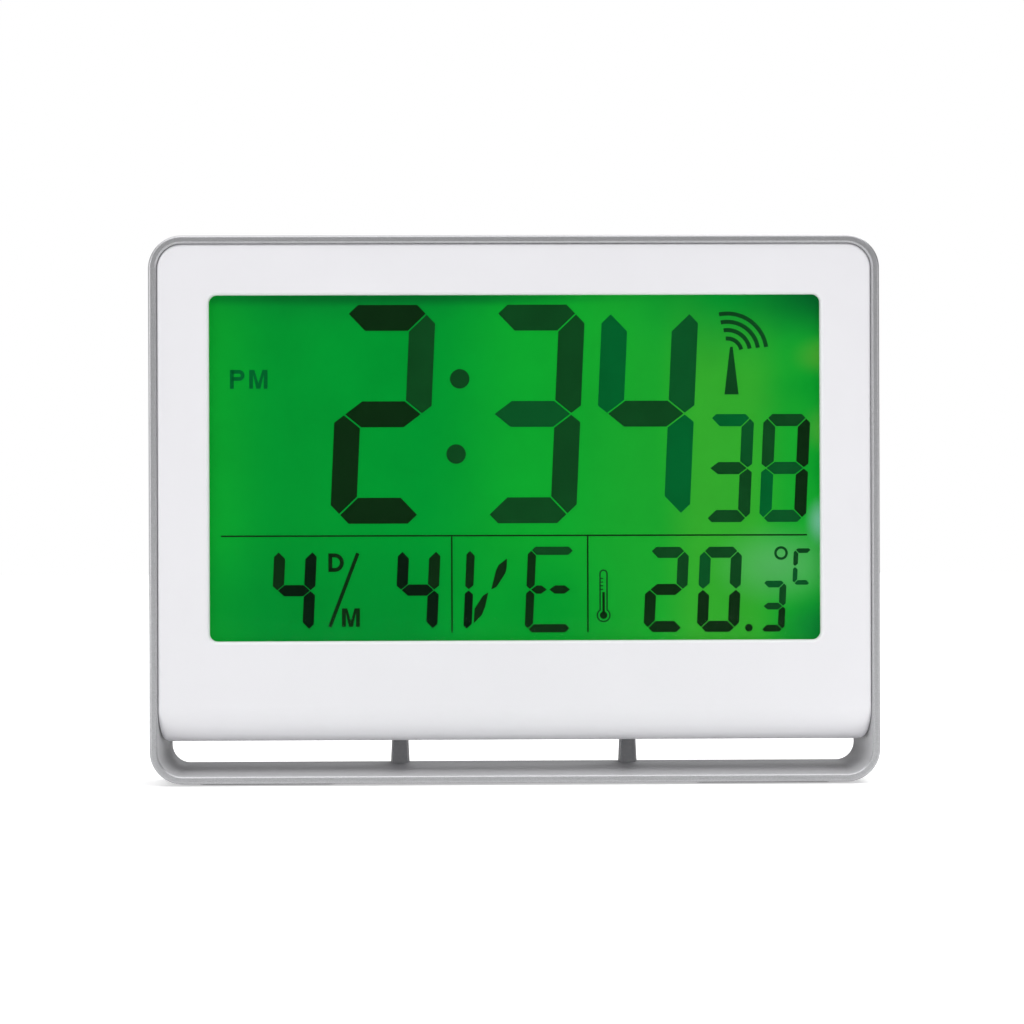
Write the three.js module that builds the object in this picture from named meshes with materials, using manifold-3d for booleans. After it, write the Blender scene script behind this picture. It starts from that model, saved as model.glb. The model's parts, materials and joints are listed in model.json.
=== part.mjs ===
// Digital table clock: a white case with a large liquid-crystal display, screwed into a silver
// frame that it stands in. Below the case the frame is open, with two posts on a base rail.
// Millimetres. X runs to the right, Y from the front to the back, Z up from the table.

import * as THREE from 'three';
import { mergeVertices } from 'three/addons/utils/BufferGeometryUtils.js';
import Module from 'manifold-3d';

const wasm = await Module();
wasm.setup();

// Display window and the case's borders round it, seen from the front
const windowWidth = 184.2;
const windowHeight = 103.9;
const windowCornerRadius = 2.4;
const windowBevel = 0.45;
const sideBorder = 15.35;
const upperBorder = 15.55;
const lowerBorder = 30.6;

// Case
const caseWall = 2;
const caseSetback = 0.6;
const caseEdgeRadius = 1.2;
const chinRadius = 11.1;
const caseLowerRadius = 2.4;
const caseGap = 0.2;
const partingDepth = 16;
const partingGap = 0.3;
const lipLength = 1.8;
const lipThickness = 1.3;
const rearEdgeRadius = 1.5;
const pocketWall = 1.8;

// Frame
const rimFace = 1.8;
const rimChamfer = 0.55;
const frameEdgeRadius = 0.75;
const frameRearRadius = 0.5;
const frameCornerRadius = 10;
const frameDraft = 2.1;
const rearSetback = 0.5;
const slotHeight = 9.95;
const postFootWidth = 6;
const postTopWidth = 5.1;
const postFrontNarrowing = 1.2;
const postDepth = 3.9;
const lugWidth = 7.6;
const lugThickness = 2.4;
const lugHeight = 11.4;
const upperLugSpacing = 120;
const lugScrewRise = 5.1;

// Feet
const footProud = 0.6;
const footThickness = 1;
const footLength = 42;
const footWidth = 18;
const footFromSide = 35;
const footCornerRadius = 3;

// Display stack, from the front wall backwards
const layerGap = 0.2;
const fitGap = 0.3;
const lensThickness = 1.2;
const lensMargin = 1.9;
const glassThickness = 2.4;
const glassMargin = 2.6;
const glassLedge = 3.8;
const guideThickness = 2.6;
const stripWidth = 2.4;
const stripInset = 5;
const holderSideWall = 6;
const holderEndWall = 2.8;
const holderRibWidth = 1.8;
const holderLip = 5;
const ledSize = [2.6, 5, 2.2];
const ledRise = 48;

// Boards
const boardThickness = 1.2;
const boardHeight = 70;
const boardScrewRise = 36;
const chipFromSide = 55.8;
const chipRise = 32;
const chipRadius = 9;
const chipHeight = 2;
const crystalFromChip = 15;
const crystalDrop = 8;
const crystalRadius = 1.1;
const crystalLength = 6.4;
const capacitorFromChip = 50;
const capacitorRise = 55;
const capacitorRadius = 3.15;
const capacitorHeight = 8;
const radioFromSide = 28.8;
const radioRise = 44;
const radioBoardSize = [22, 18];
const radioShieldHeight = 3;
const radioShieldInset = 3;
const sensorRadius = 1.6;
const sensorReach = 6.5;

// Screws
const shankRadius = 1.25;
const tipRadius = 0.75;
const headRadius = 2.5;
const headHeight = 1.3;
const headEdge = 0.65;
const headCrown = 1.9;
const crossReach = 1.55;
const crossWidth = 0.6;
const crossFloor = 0.45;
const threadGap = 0.15;
const bossRadius = 2.7;
const wellWall = 1;
const seatThickness = 2.4;
const caseScrewInset = 4;
const lowerScrewInset = 12.2;
const lowerScrewRise = 12;
const wellAboveLug = 5.6;
const caseScrewLength = 9;
const frameScrewLength = 7;
const holderScrewLength = 5;
const boardScrewLength = 5;
const earReach = 6.3;
const earThickness = 1.8;
const earWidth = 7;
const upperEarFromSide = 61;
const lowerEarFromSide = 43;

// Battery bay
const cellRadius = 7.25;
const cellLength = 50.5;
const nubRadius = 2.75;
const nubLength = 1.2;
const cellGap = 0.2;
const bayWall = 1.2;
const contactThickness = 0.4;
const springLength = 4.2;
const springTurns = 4;
const springWire = 0.35;
const springWideRadius = 4.4;
const springNarrowRadius = 2.4;
const dimpleHeight = 0.7;
const doorThickness = 1.8;
const doorOverlap = 1;
const doorGap = 0.2;
const doorTabWidth = 8;
const doorTabThickness = 1.3;
const doorTabReach = 1.5;
const doorTabInset = 10;
const latchWidth = 14;
const latchLength = 9;
const latchSlit = 0.8;

// Keys, slide switch and their board
const keyCount = 5;
const keyPitch = 20;
const keyRadius = 4.5;
const keyGap = 0.3;
const keyTravel = 0.8;
const keyFlange = 1.1;
const keyFlangeHeight = 1.2;
const keyProud = 1.2;
const plungerRadius = 2;
const plungerLength = 1.4;
const trayDepth = 1;
const trayWall = 2;
const trayHeight = 16;
const trayMargin = 12;
const trayFromTop = 24.95;
const firstKeyFromSide = 45.2;
const tactSize = 6;
const tactHeight = 3.5;
const tactButtonRadius = 1.75;
const tactButtonHeight = 0.9;
const switchTravel = 4;
const switchNub = [4, 3.6];
const switchFlange = [12, 7.6];
const switchBody = [8.6, 4.4, 4.4];
const switchStem = 0.9;
const pillarRadius = 3;
const pillarMargin = 5.6;

// Fold-out leg
const legWidth = 52.4;
const legThickness = 3.2;
const legSkin = 1.4;
const legRib = 2.4;
const legGap = 0.4;
const legFootGap = 5;
const legCornerRadius = 4;
const legToTray = 12;
const barrelRadius = 2.4;
const pinRadius = 1.5;
const pinGrip = 6;
const pinGap = 0.15;

// Aerial, buzzer, vents and ribbon
const rodRadius = 4;
const rodLength = 94;
const rodFromTop = 15.95;
const coilRadius = 5.6;
const coilLength = 34;
const coilX = 8;
const cradleSpacing = 76;
const cradleThickness = 4;
const cradleHeight = 11;
const buzzerRadius = 10.5;
const buzzerHeight = 4.5;
const buzzerFromSide = 35.2;
const buzzerRise = 74.5;
const buzzerRing = 1.2;
const slotWidth = 1.6;
const slotPitch = 3.4;
const slotCount = 5;
const slotLength = 14;
const ventFromSide = 19.2;
const ventRise = 34.5;
const ribbonWidth = 10;
const ribbonThickness = 0.7;
const ribbonFromKey = 5;
const ribbonRun = 8;

// How finely round shapes are cut
const cornerSteps = 8;
const edgeSteps = 4;
const chinSteps = 10;
const roundSides = 24;
const smallSides = 12;
const wireSides = 3;
const springSteps = 8;
const rearSteps = 3;
const weldDistance = 1e-4;
const over = 1;

// Heights and widths that follow
const rimWidth = rimFace + rimChamfer;
const caseWidth = windowWidth + 2 * sideBorder;
const frameWidth = caseWidth + 2 * (caseGap + rimWidth);
const frameBottom = footProud;
const caseBottom = frameBottom + rimWidth + slotHeight;
const windowBottom = caseBottom + lowerBorder;
const windowTop = windowBottom + windowHeight;
const caseTop = windowTop + upperBorder;
const frameTop = caseTop + caseGap + rimWidth;

// Halves, and places counted from the case's left side
const frameHalf = frameWidth / 2;
const caseHalf = caseWidth / 2;
const firstKeyX = firstKeyFromSide - caseHalf;
const buzzerX = buzzerFromSide - caseHalf;
const ventX = ventFromSide - caseHalf;

// Depths that follow, from the frame's front face backwards
const wallBack = caseSetback + caseWall;
const lensFront = wallBack + layerGap;
const glassFront = lensFront + lensThickness + layerGap;
const glassBack = glassFront + glassThickness;
const guideFront = glassBack + layerGap;
const guideBack = guideFront + guideThickness;
const holderBack = guideBack + layerGap;
const boardFront = holderBack + layerGap;
const boardBack = boardFront + boardThickness;
const bayFront = boardBack + fitGap + bayWall;
const cellDepth = bayFront + cellGap + cellRadius;
const bayRim = cellDepth + cellRadius + cellGap + fitGap;
const rearFace = bayRim + doorGap + doorThickness;
const frameDepth = rearFace + rearSetback;
const rearWallFront = rearFace - caseWall;
const rearShellFront = partingDepth + partingGap;

// Battery bay and its door, in the lower right corner
const contactRoom = contactThickness + layerGap;
const bayRight = caseHalf - frameDraft - caseWall - bayWall;
const bayLeft = bayRight - cellLength - springLength - 2 * contactRoom - dimpleHeight - 2 * fitGap;
const bayBottom = caseBottom + caseWall + fitGap + bayWall;
const lowerCellZ = bayBottom + cellGap + cellRadius;
const upperCellZ = lowerCellZ + 2 * cellRadius + 2 * cellGap;
const bayTop = upperCellZ + cellRadius + cellGap;
const door = {
  left: bayLeft - doorOverlap,
  right: bayRight + doorOverlap - doorGap,
  bottom: bayBottom - doorOverlap,
  top: bayTop + doorOverlap,
};
const doorRecess = grown(door, doorGap);

// The posts and their lugs stand half way between the leg's recess and the battery door
const recessHalf = legWidth / 2 + legGap;
const postX = (recessHalf + doorRecess.left) / 2;

// The frame's inner surface comes in towards the back, and the case follows it
function draftAt(depth) {
  return frameDraft * depth / frameDepth;
}

// Solids

function solidOf(geometry) {
  const bare = new THREE.BufferGeometry();
  bare.setAttribute('position', geometry.getAttribute('position'));
  if (geometry.index) bare.setIndex(geometry.index);
  const merged = mergeVertices(bare, weldDistance);
  const corners = Array.from(merged.index.array);
  const triangles = [];
  for (let i = 0; i < corners.length; i += 3) {
    const [a, b, c] = corners.slice(i, i + 3);
    if (a !== b && b !== c && c !== a) triangles.push(a, b, c);
  }
  return new wasm.Manifold(new wasm.Mesh({
    numProp: 3,
    vertProperties: merged.getAttribute('position').array,
    triVerts: new Uint32Array(triangles),
  }));
}

function geometryOf(solid) {
  const mesh = solid.getMesh();
  const geometry = new THREE.BufferGeometry();
  geometry.setAttribute('position', new THREE.BufferAttribute(new Float32Array(mesh.vertProperties), 3));
  geometry.setIndex(Array.from(mesh.triVerts));
  geometry.computeVertexNormals();
  return geometry;
}

function join(...solids) {
  return solids.reduce((sum, solid) => sum.add(solid));
}

function cut(solid, ...tools) {
  return tools.reduce((rest, tool) => rest.subtract(tool), solid);
}

function box(x0, x1, y0, y1, z0, z1) {
  const geometry = new THREE.BoxGeometry(x1 - x0, y1 - y0, z1 - z0);
  return solidOf(geometry.translate((x0 + x1) / 2, (y0 + y1) / 2, (z0 + z1) / 2));
}

function rodAlongY(radius, x, z, y0, y1, sides = roundSides) {
  const geometry = new THREE.CylinderGeometry(radius, radius, y1 - y0, sides);
  return solidOf(geometry.translate(x, (y0 + y1) / 2, z));
}

function rodAlongX(radius, y, z, x0, x1, sides = roundSides) {
  const geometry = new THREE.CylinderGeometry(radius, radius, x1 - x0, sides);
  return solidOf(geometry.rotateZ(Math.PI / 2).translate((x0 + x1) / 2, y, z));
}

// A rounded rectangle seen from the front, anticlockwise from its upper right corner
function roundedOutline(side, lowerRadius, upperRadius = lowerRadius) {
  const corners = [
    [side.right - upperRadius, side.top - upperRadius, upperRadius],
    [side.left + upperRadius, side.top - upperRadius, upperRadius],
    [side.left + lowerRadius, side.bottom + lowerRadius, lowerRadius],
    [side.right - lowerRadius, side.bottom + lowerRadius, lowerRadius],
  ];
  const points = [];
  corners.forEach(([x, z, radius], quarter) => {
    for (let step = 0; step <= cornerSteps; step += 1) {
      const angle = (quarter + step / cornerSteps) * Math.PI / 2;
      points.push([x + radius * Math.cos(angle), z + radius * Math.sin(angle)]);
    }
  });
  return points;
}

// A closed solid through outlines of equally many points, each at its own depth
function loft(layers) {
  const count = layers[0].outline.length;
  const position = layers.flatMap(({ outline, y }) => outline.flatMap(([x, z]) => [x, y, z]));
  const index = [];
  const last = (layers.length - 1) * count;
  for (let j = 1; j < count - 1; j += 1) {
    index.push(0, j, j + 1);
    index.push(last, last + j + 1, last + j);
  }
  for (let start = 0; start < last; start += count) {
    for (let j = 0; j < count; j += 1) {
      const next = (j + 1) % count;
      const [a, b] = [start + j, start + next];
      index.push(a, a + count, b + count, a, b + count, b);
    }
  }
  const geometry = new THREE.BufferGeometry();
  geometry.setAttribute('position', new THREE.Float32BufferAttribute(position, 3));
  geometry.setIndex(index);
  return solidOf(geometry);
}

// A flat plate facing the front, with rounded corners
function plate(side, radius, y0, y1) {
  const outline = roundedOutline(side, radius);
  return loft([{ outline, y: y0 }, { outline, y: y1 }]);
}

// A quarter-round edge as pairs of depth from the face and inset from the side
function quarterRound(radius, steps) {
  return Array.from({ length: steps + 1 }, (_, step) => {
    const angle = step / steps * Math.PI / 2;
    return [radius * (1 - Math.cos(angle)), radius * (1 - Math.sin(angle))];
  });
}

function insetAlong(radius, depth) {
  if (depth >= radius) return 0;
  return radius - Math.sqrt(radius * radius - (radius - depth) ** 2);
}

// Screw with a domed cross-head, its head's seat at depth y, driven from the back
function screw(x, z, y, length) {
  const profile = [
    [0, -length], [tipRadius, -length], [shankRadius, tipRadius - length], [shankRadius, 0],
    [headRadius, 0], [headRadius, headEdge], [headCrown, headHeight], [0, headHeight],
  ].map(([radius, height]) => new THREE.Vector2(radius, height));
  const shape = new THREE.LatheGeometry(profile, smallSides).translate(x, y, z);
  const slit = crossWidth / 2;
  const slitFloor = y + crossFloor;
  const slitTop = y + headHeight + over;
  return cut(
    solidOf(shape),
    box(x - crossReach, x + crossReach, slitFloor, slitTop, z - slit, z + slit),
    box(x - slit, x + slit, slitFloor, slitTop, z - crossReach, z + crossReach),
  );
}

// Frame

function frameOutline(inset) {
  const side = {
    left: inset - frameHalf, right: frameHalf - inset, bottom: frameBottom + inset, top: frameTop - inset,
  };
  return roundedOutline(side, frameCornerRadius - inset);
}

function frameBand() {
  const front = quarterRound(frameEdgeRadius, edgeSteps)
    .map(([depth, inset]) => ({ y: depth, outline: frameOutline(inset) }));
  const back = quarterRound(frameRearRadius, rearSteps)
    .map(([depth, inset]) => ({ y: frameDepth - depth, outline: frameOutline(inset) })).reverse();
  const hole = loft([
    { y: -over, outline: frameOutline(rimFace - over) },
    { y: rimChamfer, outline: frameOutline(rimWidth) },
    { y: frameDepth, outline: frameOutline(rimWidth + frameDraft) },
    { y: frameDepth + over, outline: frameOutline(rimWidth + frameDraft) },
  ]);
  return cut(loft([...front, ...back]), hole);
}

const postTop = caseBottom - fitGap;
const lugFront = frameDepth - lugThickness;
const railBack = frameBottom + rimWidth + frameDraft;

// A post narrows towards its top and its front, and its foot is sunk into the rail
function post(x) {
  const foot = railBack - frameDraft;
  const corner = (width, y, z) => [[x - width / 2, y, z], [x + width / 2, y, z]];
  const front = frameDepth - postDepth;
  const back = frameDepth - frameRearRadius;
  const points = [
    ...corner(postFootWidth - postFrontNarrowing, front, foot),
    ...corner(postFootWidth, back, foot).reverse(),
    ...corner(postTopWidth - postFrontNarrowing, front, postTop),
    ...corner(postTopWidth, back, postTop).reverse(),
  ];
  const geometry = new THREE.BufferGeometry();
  geometry.setAttribute('position', new THREE.Float32BufferAttribute(points.flat(), 3));
  geometry.setIndex([
    0, 2, 1, 0, 3, 2, 4, 5, 6, 4, 6, 7,
    0, 1, 5, 0, 5, 4, 1, 2, 6, 1, 6, 5, 2, 3, 7, 2, 7, 6, 3, 0, 4, 3, 4, 7,
  ]);
  return solidOf(geometry);
}

const upperLugBottom = caseTop - frameDraft - lugHeight;
const lowerLug = {
  low: true, bottom: postTop - fitGap, top: caseBottom + lugHeight, z: caseBottom + lugScrewRise,
};
const upperLug = {
  low: false, bottom: upperLugBottom, top: caseTop, z: upperLugBottom + lugScrewRise,
};
const lugs = [
  { x: -postX, ...lowerLug },
  { x: postX, ...lowerLug },
  { x: -upperLugSpacing / 2, ...upperLug },
  { x: upperLugSpacing / 2, ...upperLug },
];
const lugSeat = frameDepth - headHeight - layerGap;

function frame() {
  const feet = [-1, 1].map((hand) => footRecess(hand));
  const tabs = lugs.map(({ x, bottom, top }) =>
    box(x - lugWidth / 2, x + lugWidth / 2, lugFront, frameDepth - frameRearRadius, bottom, top));
  const holes = lugs.flatMap(({ x, z }) => [
    rodAlongY(shankRadius + fitGap, x, z, lugFront - over, frameDepth + over, smallSides),
    rodAlongY(headRadius + fitGap, x, z, lugSeat, frameDepth + over),
  ]);
  return cut(join(frameBand(), post(-postX), post(postX), ...tabs), ...holes, ...feet);
}

function footSide(hand, grow) {
  const centre = hand * (frameHalf - footFromSide);
  return { left: centre - footLength / 2 - grow, right: centre + footLength / 2 + grow };
}

// Feet lie flat in shallow recesses under the rail, so their outlines are seen from below
function footPad(hand, grow, z0, z1) {
  const { left, right } = footSide(hand, grow);
  const shape = new THREE.Shape(roundedOutline(
    { left, right, bottom: (frameDepth - footWidth) / 2 - grow, top: (frameDepth + footWidth) / 2 + grow },
    footCornerRadius + grow,
  ).map(([x, y]) => new THREE.Vector2(x, y)));
  const geometry = new THREE.ExtrudeGeometry(shape, { depth: z1 - z0, bevelEnabled: false });
  return solidOf(geometry.translate(0, 0, z0));
}

function footRecess(hand) {
  return footPad(hand, fitGap, frameBottom - over, footThickness + layerGap);
}

// Case

function caseOutline(depth, inset = 0, raise = 0) {
  const drawnIn = inset + draftAt(depth);
  const side = {
    left: drawnIn - caseHalf,
    right: caseHalf - drawnIn,
    bottom: caseBottom + inset + raise,
    top: caseTop - drawnIn,
  };
  const upperRadius = frameCornerRadius - rimWidth - caseGap - drawnIn;
  return roundedOutline(side, Math.max(caseLowerRadius - inset, wellWall), Math.max(upperRadius, wellWall));
}

// Round front edges, with the wide chin along the bottom, then straight to depth
function frontForm(inset, depth) {
  const edge = Math.max(caseEdgeRadius - inset, 0);
  const chin = chinRadius - inset;
  const start = caseSetback + inset;
  const steps = [...quarterRound(edge, edgeSteps), ...quarterRound(chin, chinSteps)].map(([step]) => step);
  const depths = [...new Set(steps.map((step) => Number(step.toFixed(4))))].sort((a, b) => a - b);
  const layers = depths.map((step) => {
    const narrowed = insetAlong(edge, step);
    const raised = insetAlong(chin, step) - narrowed;
    return { y: start + step, outline: caseOutline(start + step, inset + narrowed, raised) };
  });
  return loft([...layers, { y: depth, outline: caseOutline(depth, inset) }]);
}

const windowSide = {
  left: -windowWidth / 2, right: windowWidth / 2, bottom: windowBottom, top: windowTop,
};

function grown(side, by) {
  return { left: side.left - by, right: side.right + by, bottom: side.bottom - by, top: side.top + by };
}

const glassSide = { ...grown(windowSide, glassMargin), bottom: windowBottom - glassLedge };
const cavitySide = grown(glassSide, fitGap);
const holderSide = {
  left: cavitySide.left - holderSideWall,
  right: cavitySide.right + holderSideWall,
  bottom: cavitySide.bottom - holderEndWall,
  top: cavitySide.top + holderEndWall,
};
const upperEarX = holderSide.right - upperEarFromSide;
const lowerEarX = holderSide.right - lowerEarFromSide;
const holderScrews = [
  { x: -upperEarX, z: holderSide.top + fitGap + bossRadius, hand: 1 },
  { x: upperEarX, z: holderSide.top + fitGap + bossRadius, hand: 1 },
  { x: -lowerEarX, z: holderSide.bottom - fitGap - bossRadius, hand: -1 },
  { x: lowerEarX, z: holderSide.bottom - fitGap - bossRadius, hand: -1 },
];
const earFront = holderBack - earThickness - headHeight - layerGap;

// Places of the key tray and the leg below it
const keyRow = caseTop - trayFromTop - trayHeight / 2;
const trayBottom = keyRow - trayHeight / 2;
const legPivotZ = trayBottom - legToTray;
const legPivotY = rearFace - layerGap - barrelRadius;
const legBack = rearFace - fitGap;
const legFront = legBack - legThickness;
const legFloor = legFront - legGap;

const wellRadius = headRadius + threadGap * 2;
const caseScrews = [
  { x: caseScrewInset - windowWidth / 2, z: holderSide.top + bossRadius + 2 * layerGap },
  { x: windowWidth / 2 - caseScrewInset, z: holderSide.top + bossRadius + 2 * layerGap },
  { x: lowerScrewInset - caseHalf, z: caseBottom + lowerScrewRise },
  { x: postX, z: caseBottom + lugHeight + wellAboveLug },
];
const caseSeat = rearShellFront + layerGap + seatThickness;

function frontShell() {
  const shell = cut(frontForm(0, partingDepth), frontForm(caseWall, partingDepth + over));
  const straight = roundedOutline(windowSide, windowCornerRadius);
  const widened = roundedOutline(grown(windowSide, 2 * windowBevel), windowCornerRadius);
  const opening = loft([
    { y: caseSetback - windowBevel, outline: widened },
    { y: caseSetback + windowBevel, outline: straight },
    { y: wallBack + over, outline: straight },
  ]);
  const rooted = wallBack - caseWall / 2;
  const screwEnd = caseSeat - caseScrewLength - fitGap;
  const pilot = (x, z, y0, y1) => rodAlongY(shankRadius + threadGap, x, z, y0, y1, smallSides);
  const bosses = [
    ...caseScrews.map(({ x, z }) => rodAlongY(bossRadius, x, z, rooted, partingDepth)),
    ...holderScrews.map(({ x, z }) => rodAlongY(bossRadius, x, z, rooted, earFront - layerGap)),
  ];
  const pilots = [
    ...caseScrews.map(({ x, z }) => pilot(x, z, screwEnd, partingDepth + over)),
    ...holderScrews.map(({ x, z }) => pilot(x, z, wallBack, earFront + over)),
  ];
  return cut(join(cut(shell, opening), ...bosses), ...pilots);
}

// Rear housing

const keyXs = Array.from({ length: keyCount }, (_, place) => firstKeyX + place * keyPitch);
const tray = {
  left: firstKeyX - trayMargin,
  right: keyXs[keyCount - 1] + keyPitch / 2 + switchFlange[0] + trayMargin,
  bottom: trayBottom,
  top: trayBottom + trayHeight,
};
const trayFloor = rearFace - trayDepth;
const trayFront = trayFloor - trayWall;
const switchX = tray.right - trayMargin;
const flangeBack = trayFront - fitGap;
const flangeFront = flangeBack - keyFlangeHeight;
const plungerFront = flangeFront - plungerLength;
const buttonBack = plungerFront - keyTravel - layerGap;
const tactBack = buttonBack - tactButtonHeight;
const tactFront = tactBack - tactHeight;
const keyBoardBack = tactFront - layerGap / 2;
const keyBoardFront = keyBoardBack - boardThickness;
const pillars = [tray.left - pillarMargin, tray.right + pillarMargin];
const rodDepth = (boardBack + rearWallFront) / 2;
const rodZ = caseTop - rodFromTop;
const buzzerZ = caseBottom + buzzerRise;
const ventZ = caseBottom + ventRise;

// A pocket in the back face: its hollow, and the block of plastic that it is sunk into
function pocket(side, floor, wall) {
  const outer = grown(side, wall);
  return {
    block: box(outer.left, outer.right, floor - wall, rearFace, outer.bottom, outer.top),
    hollow: box(side.left, side.right, floor, rearFace + over, side.bottom, side.top),
  };
}

function rearShell() {
  const layers = [
    { y: rearShellFront, outline: caseOutline(rearShellFront) },
    ...quarterRound(rearEdgeRadius, edgeSteps).map(([depth, inset]) => ({
      y: rearFace - depth, outline: caseOutline(rearFace, inset),
    })).reverse(),
  ];
  return loft(layers);
}

function shellLip() {
  const lipFront = partingDepth - lipLength;
  const lipBack = rearShellFront + lipLength;
  const hollow = loft([lipFront - over, lipBack + over].map((y) => (
    { y, outline: caseOutline(y, caseWall + fitGap + lipThickness) })));
  const tongue = loft([lipFront, rearShellFront + layerGap].map((y) => (
    { y, outline: caseOutline(y, caseWall + fitGap) })));
  const root = loft([rearShellFront, lipBack].map((y) => ({ y, outline: caseOutline(y, caseWall / 2) })));
  return cut(join(tongue, root), hollow);
}

function lugPockets() {
  return lugs.map(({ x, low, bottom, top }) => pocket({
    left: x - lugWidth / 2 - legGap,
    right: x + lugWidth / 2 + legGap,
    bottom: low ? bottom - over : bottom - legGap,
    top: low ? top + legGap : top + over,
  }, lugFront - fitGap, pocketWall));
}

function legPockets() {
  const side = {
    left: -recessHalf, right: recessHalf, bottom: caseBottom - over, top: legPivotZ + barrelRadius + legGap,
  };
  const barrelSide = { ...side, bottom: legPivotZ - barrelRadius - legGap };
  return [
    pocket(side, legFloor, pocketWall),
    pocket(barrelSide, legPivotY - barrelRadius - legGap, pocketWall),
  ];
}

const pinHalf = legWidth / 2 + pinGrip;

function pinBlocks() {
  const outer = pinHalf + pocketWall;
  const reach = pinRadius + pocketWall;
  return [[-outer, -recessHalf], [recessHalf, outer]].map(([x0, x1]) =>
    box(x0, x1, legPivotY - reach, rearWallFront + over, legPivotZ - reach, legPivotZ + reach));
}

// Everything that the battery bay adds, in front of the parting line and behind it
function bayBlocks() {
  return [
    box(bayLeft - bayWall, bayRight + bayWall, bayFront - bayWall, rearWallFront + over,
      bayBottom - bayWall, bayTop + bayWall),
    box(doorRecess.left - bayWall, doorRecess.right + bayWall, bayRim - caseWall, rearFace,
      doorRecess.bottom - bayWall, doorRecess.top + bayWall + doorTabReach),
  ];
}

const tabXs = [door.left + doorTabInset, door.right - doorTabInset];
const doorPivot = { y: rearFace, z: (door.top + doorRecess.top) / 2 };
const tabBack = bayRim - doorGap;
const tabFront = tabBack - doorTabThickness;
const tabSweep = Math.hypot(rearFace - tabFront, doorTabReach + doorGap) + fitGap;

function bayHollows() {
  const notches = tabXs.flatMap((x) => {
    const half = doorTabWidth / 2 + fitGap;
    const floor = rearFace - tabSweep;
    return [
      box(x - half, x + half, floor, rearFace + over, doorPivot.z - tabSweep, doorRecess.top),
      box(x - half, x + half, floor, tabBack + doorGap, doorPivot.z - over, doorPivot.z + tabSweep / 2),
    ];
  });
  const tails = terminalTails.map(({ x, z }) =>
    box(x - contactThickness / 2 - fitGap, x + contactThickness / 2 + fitGap, bayFront - bayWall - over,
      bayFront + over, z - tailWidth / 2 - fitGap, z + tailWidth / 2 + fitGap));
  return [
    box(bayLeft, bayRight, bayFront, rearFace + over, bayBottom, bayTop),
    box(doorRecess.left, doorRecess.right, bayRim, rearFace + over, doorRecess.bottom, doorRecess.top),
    ...notches,
    ...tails,
  ];
}

function slots(x, z) {
  return Array.from({ length: slotCount }, (_, place) => {
    const across = x + (place - (slotCount - 1) / 2) * slotPitch;
    return box(across - slotWidth / 2, across + slotWidth / 2, rearWallFront - over, rearFace + over,
      z - slotLength / 2, z + slotLength / 2);
  });
}

function rearHousing() {
  const rear = rearShell();
  const hollow = loft([rearShellFront - over, rearWallFront].map((y) => (
    { y, outline: caseOutline(y, caseWall) })));
  const trayPocket = pocket(tray, trayFloor, trayWall);
  const pockets = [...lugPockets(), ...legPockets(), trayPocket];
  const [bayBox, bayCollar] = bayBlocks();
  const wells = caseScrews.map(({ x, z }) =>
    rodAlongY(wellRadius + wellWall, x, z, rearShellFront, rearFace));
  const lugBosses = lugs.map(({ x, z }) =>
    rodAlongY(bossRadius, x, z, lugFront - frameScrewLength, lugFront - fitGap));
  const inner = [
    ...pockets.map(({ block }) => block), ...wells, ...lugBosses, ...pinBlocks(), bayCollar,
  ].map((block) => block.intersect(rear));
  const ringFront = rearWallFront - buzzerHeight;
  const ring = cut(
    rodAlongY(buzzerRadius + fitGap + buzzerRing, buzzerX, buzzerZ, ringFront, rearWallFront + over),
    rodAlongY(buzzerRadius + fitGap, buzzerX, buzzerZ, ringFront - over, rearWallFront),
  );
  const pillarRods = pillars.map((x) =>
    rodAlongY(pillarRadius, x, keyRow, keyBoardBack + layerGap / 2, rearWallFront + over));
  const cradles = [-1, 1].map((hand) => {
    const centre = hand * cradleSpacing / 2;
    return box(centre - cradleThickness / 2, centre + cradleThickness / 2, rodDepth, rearWallFront + over,
      rodZ - cradleHeight / 2, rodZ + cradleHeight / 2);
  });
  const body = join(cut(rear, hollow), shellLip(), ...inner, bayBox, ring, ...pillarRods, ...cradles);
  const pilot = (x, z, y0, y1) => rodAlongY(shankRadius + threadGap, x, z, y0, y1, smallSides);
  return cut(
    body,
    ...pockets.map((each) => each.hollow),
    ...bayHollows(),
    ...caseScrews.flatMap(({ x, z }) => [
      rodAlongY(bossRadius + fitGap, x, z, partingDepth - lipLength - over, rearShellFront),
      rodAlongY(shankRadius + fitGap, x, z, rearShellFront - over, rearFace, smallSides),
      rodAlongY(wellRadius, x, z, caseSeat, rearFace + over),
    ]),
    ...lugs.map(({ x, z }) => pilot(x, z, lugFront - frameScrewLength - over, rearFace)),
    ...pillars.map((x) => pilot(x, keyRow, keyBoardBack - over, rearWallFront - layerGap)),
    rodAlongX(pinRadius + pinGap, legPivotY, legPivotZ, -pinHalf - fitGap, pinHalf + pocketWall + over),
    rodAlongX(rodRadius + layerGap, rodDepth, rodZ, -cradleSpacing, cradleSpacing),
    ...keyXs.map((x) => rodAlongY(keyRadius + keyGap, x, keyRow, trayFront - over, rearFace)),
    box(switchX - switchNub[0] / 2 - keyGap, switchX + switchNub[0] / 2 + switchTravel + keyGap,
      trayFront - over, rearFace, keyRow - switchNub[1] / 2 - keyGap, keyRow + switchNub[1] / 2 + keyGap),
    ...slots(buzzerX, buzzerZ),
    ...slots(ventX, ventZ),
  );
}

// Display stack

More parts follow.
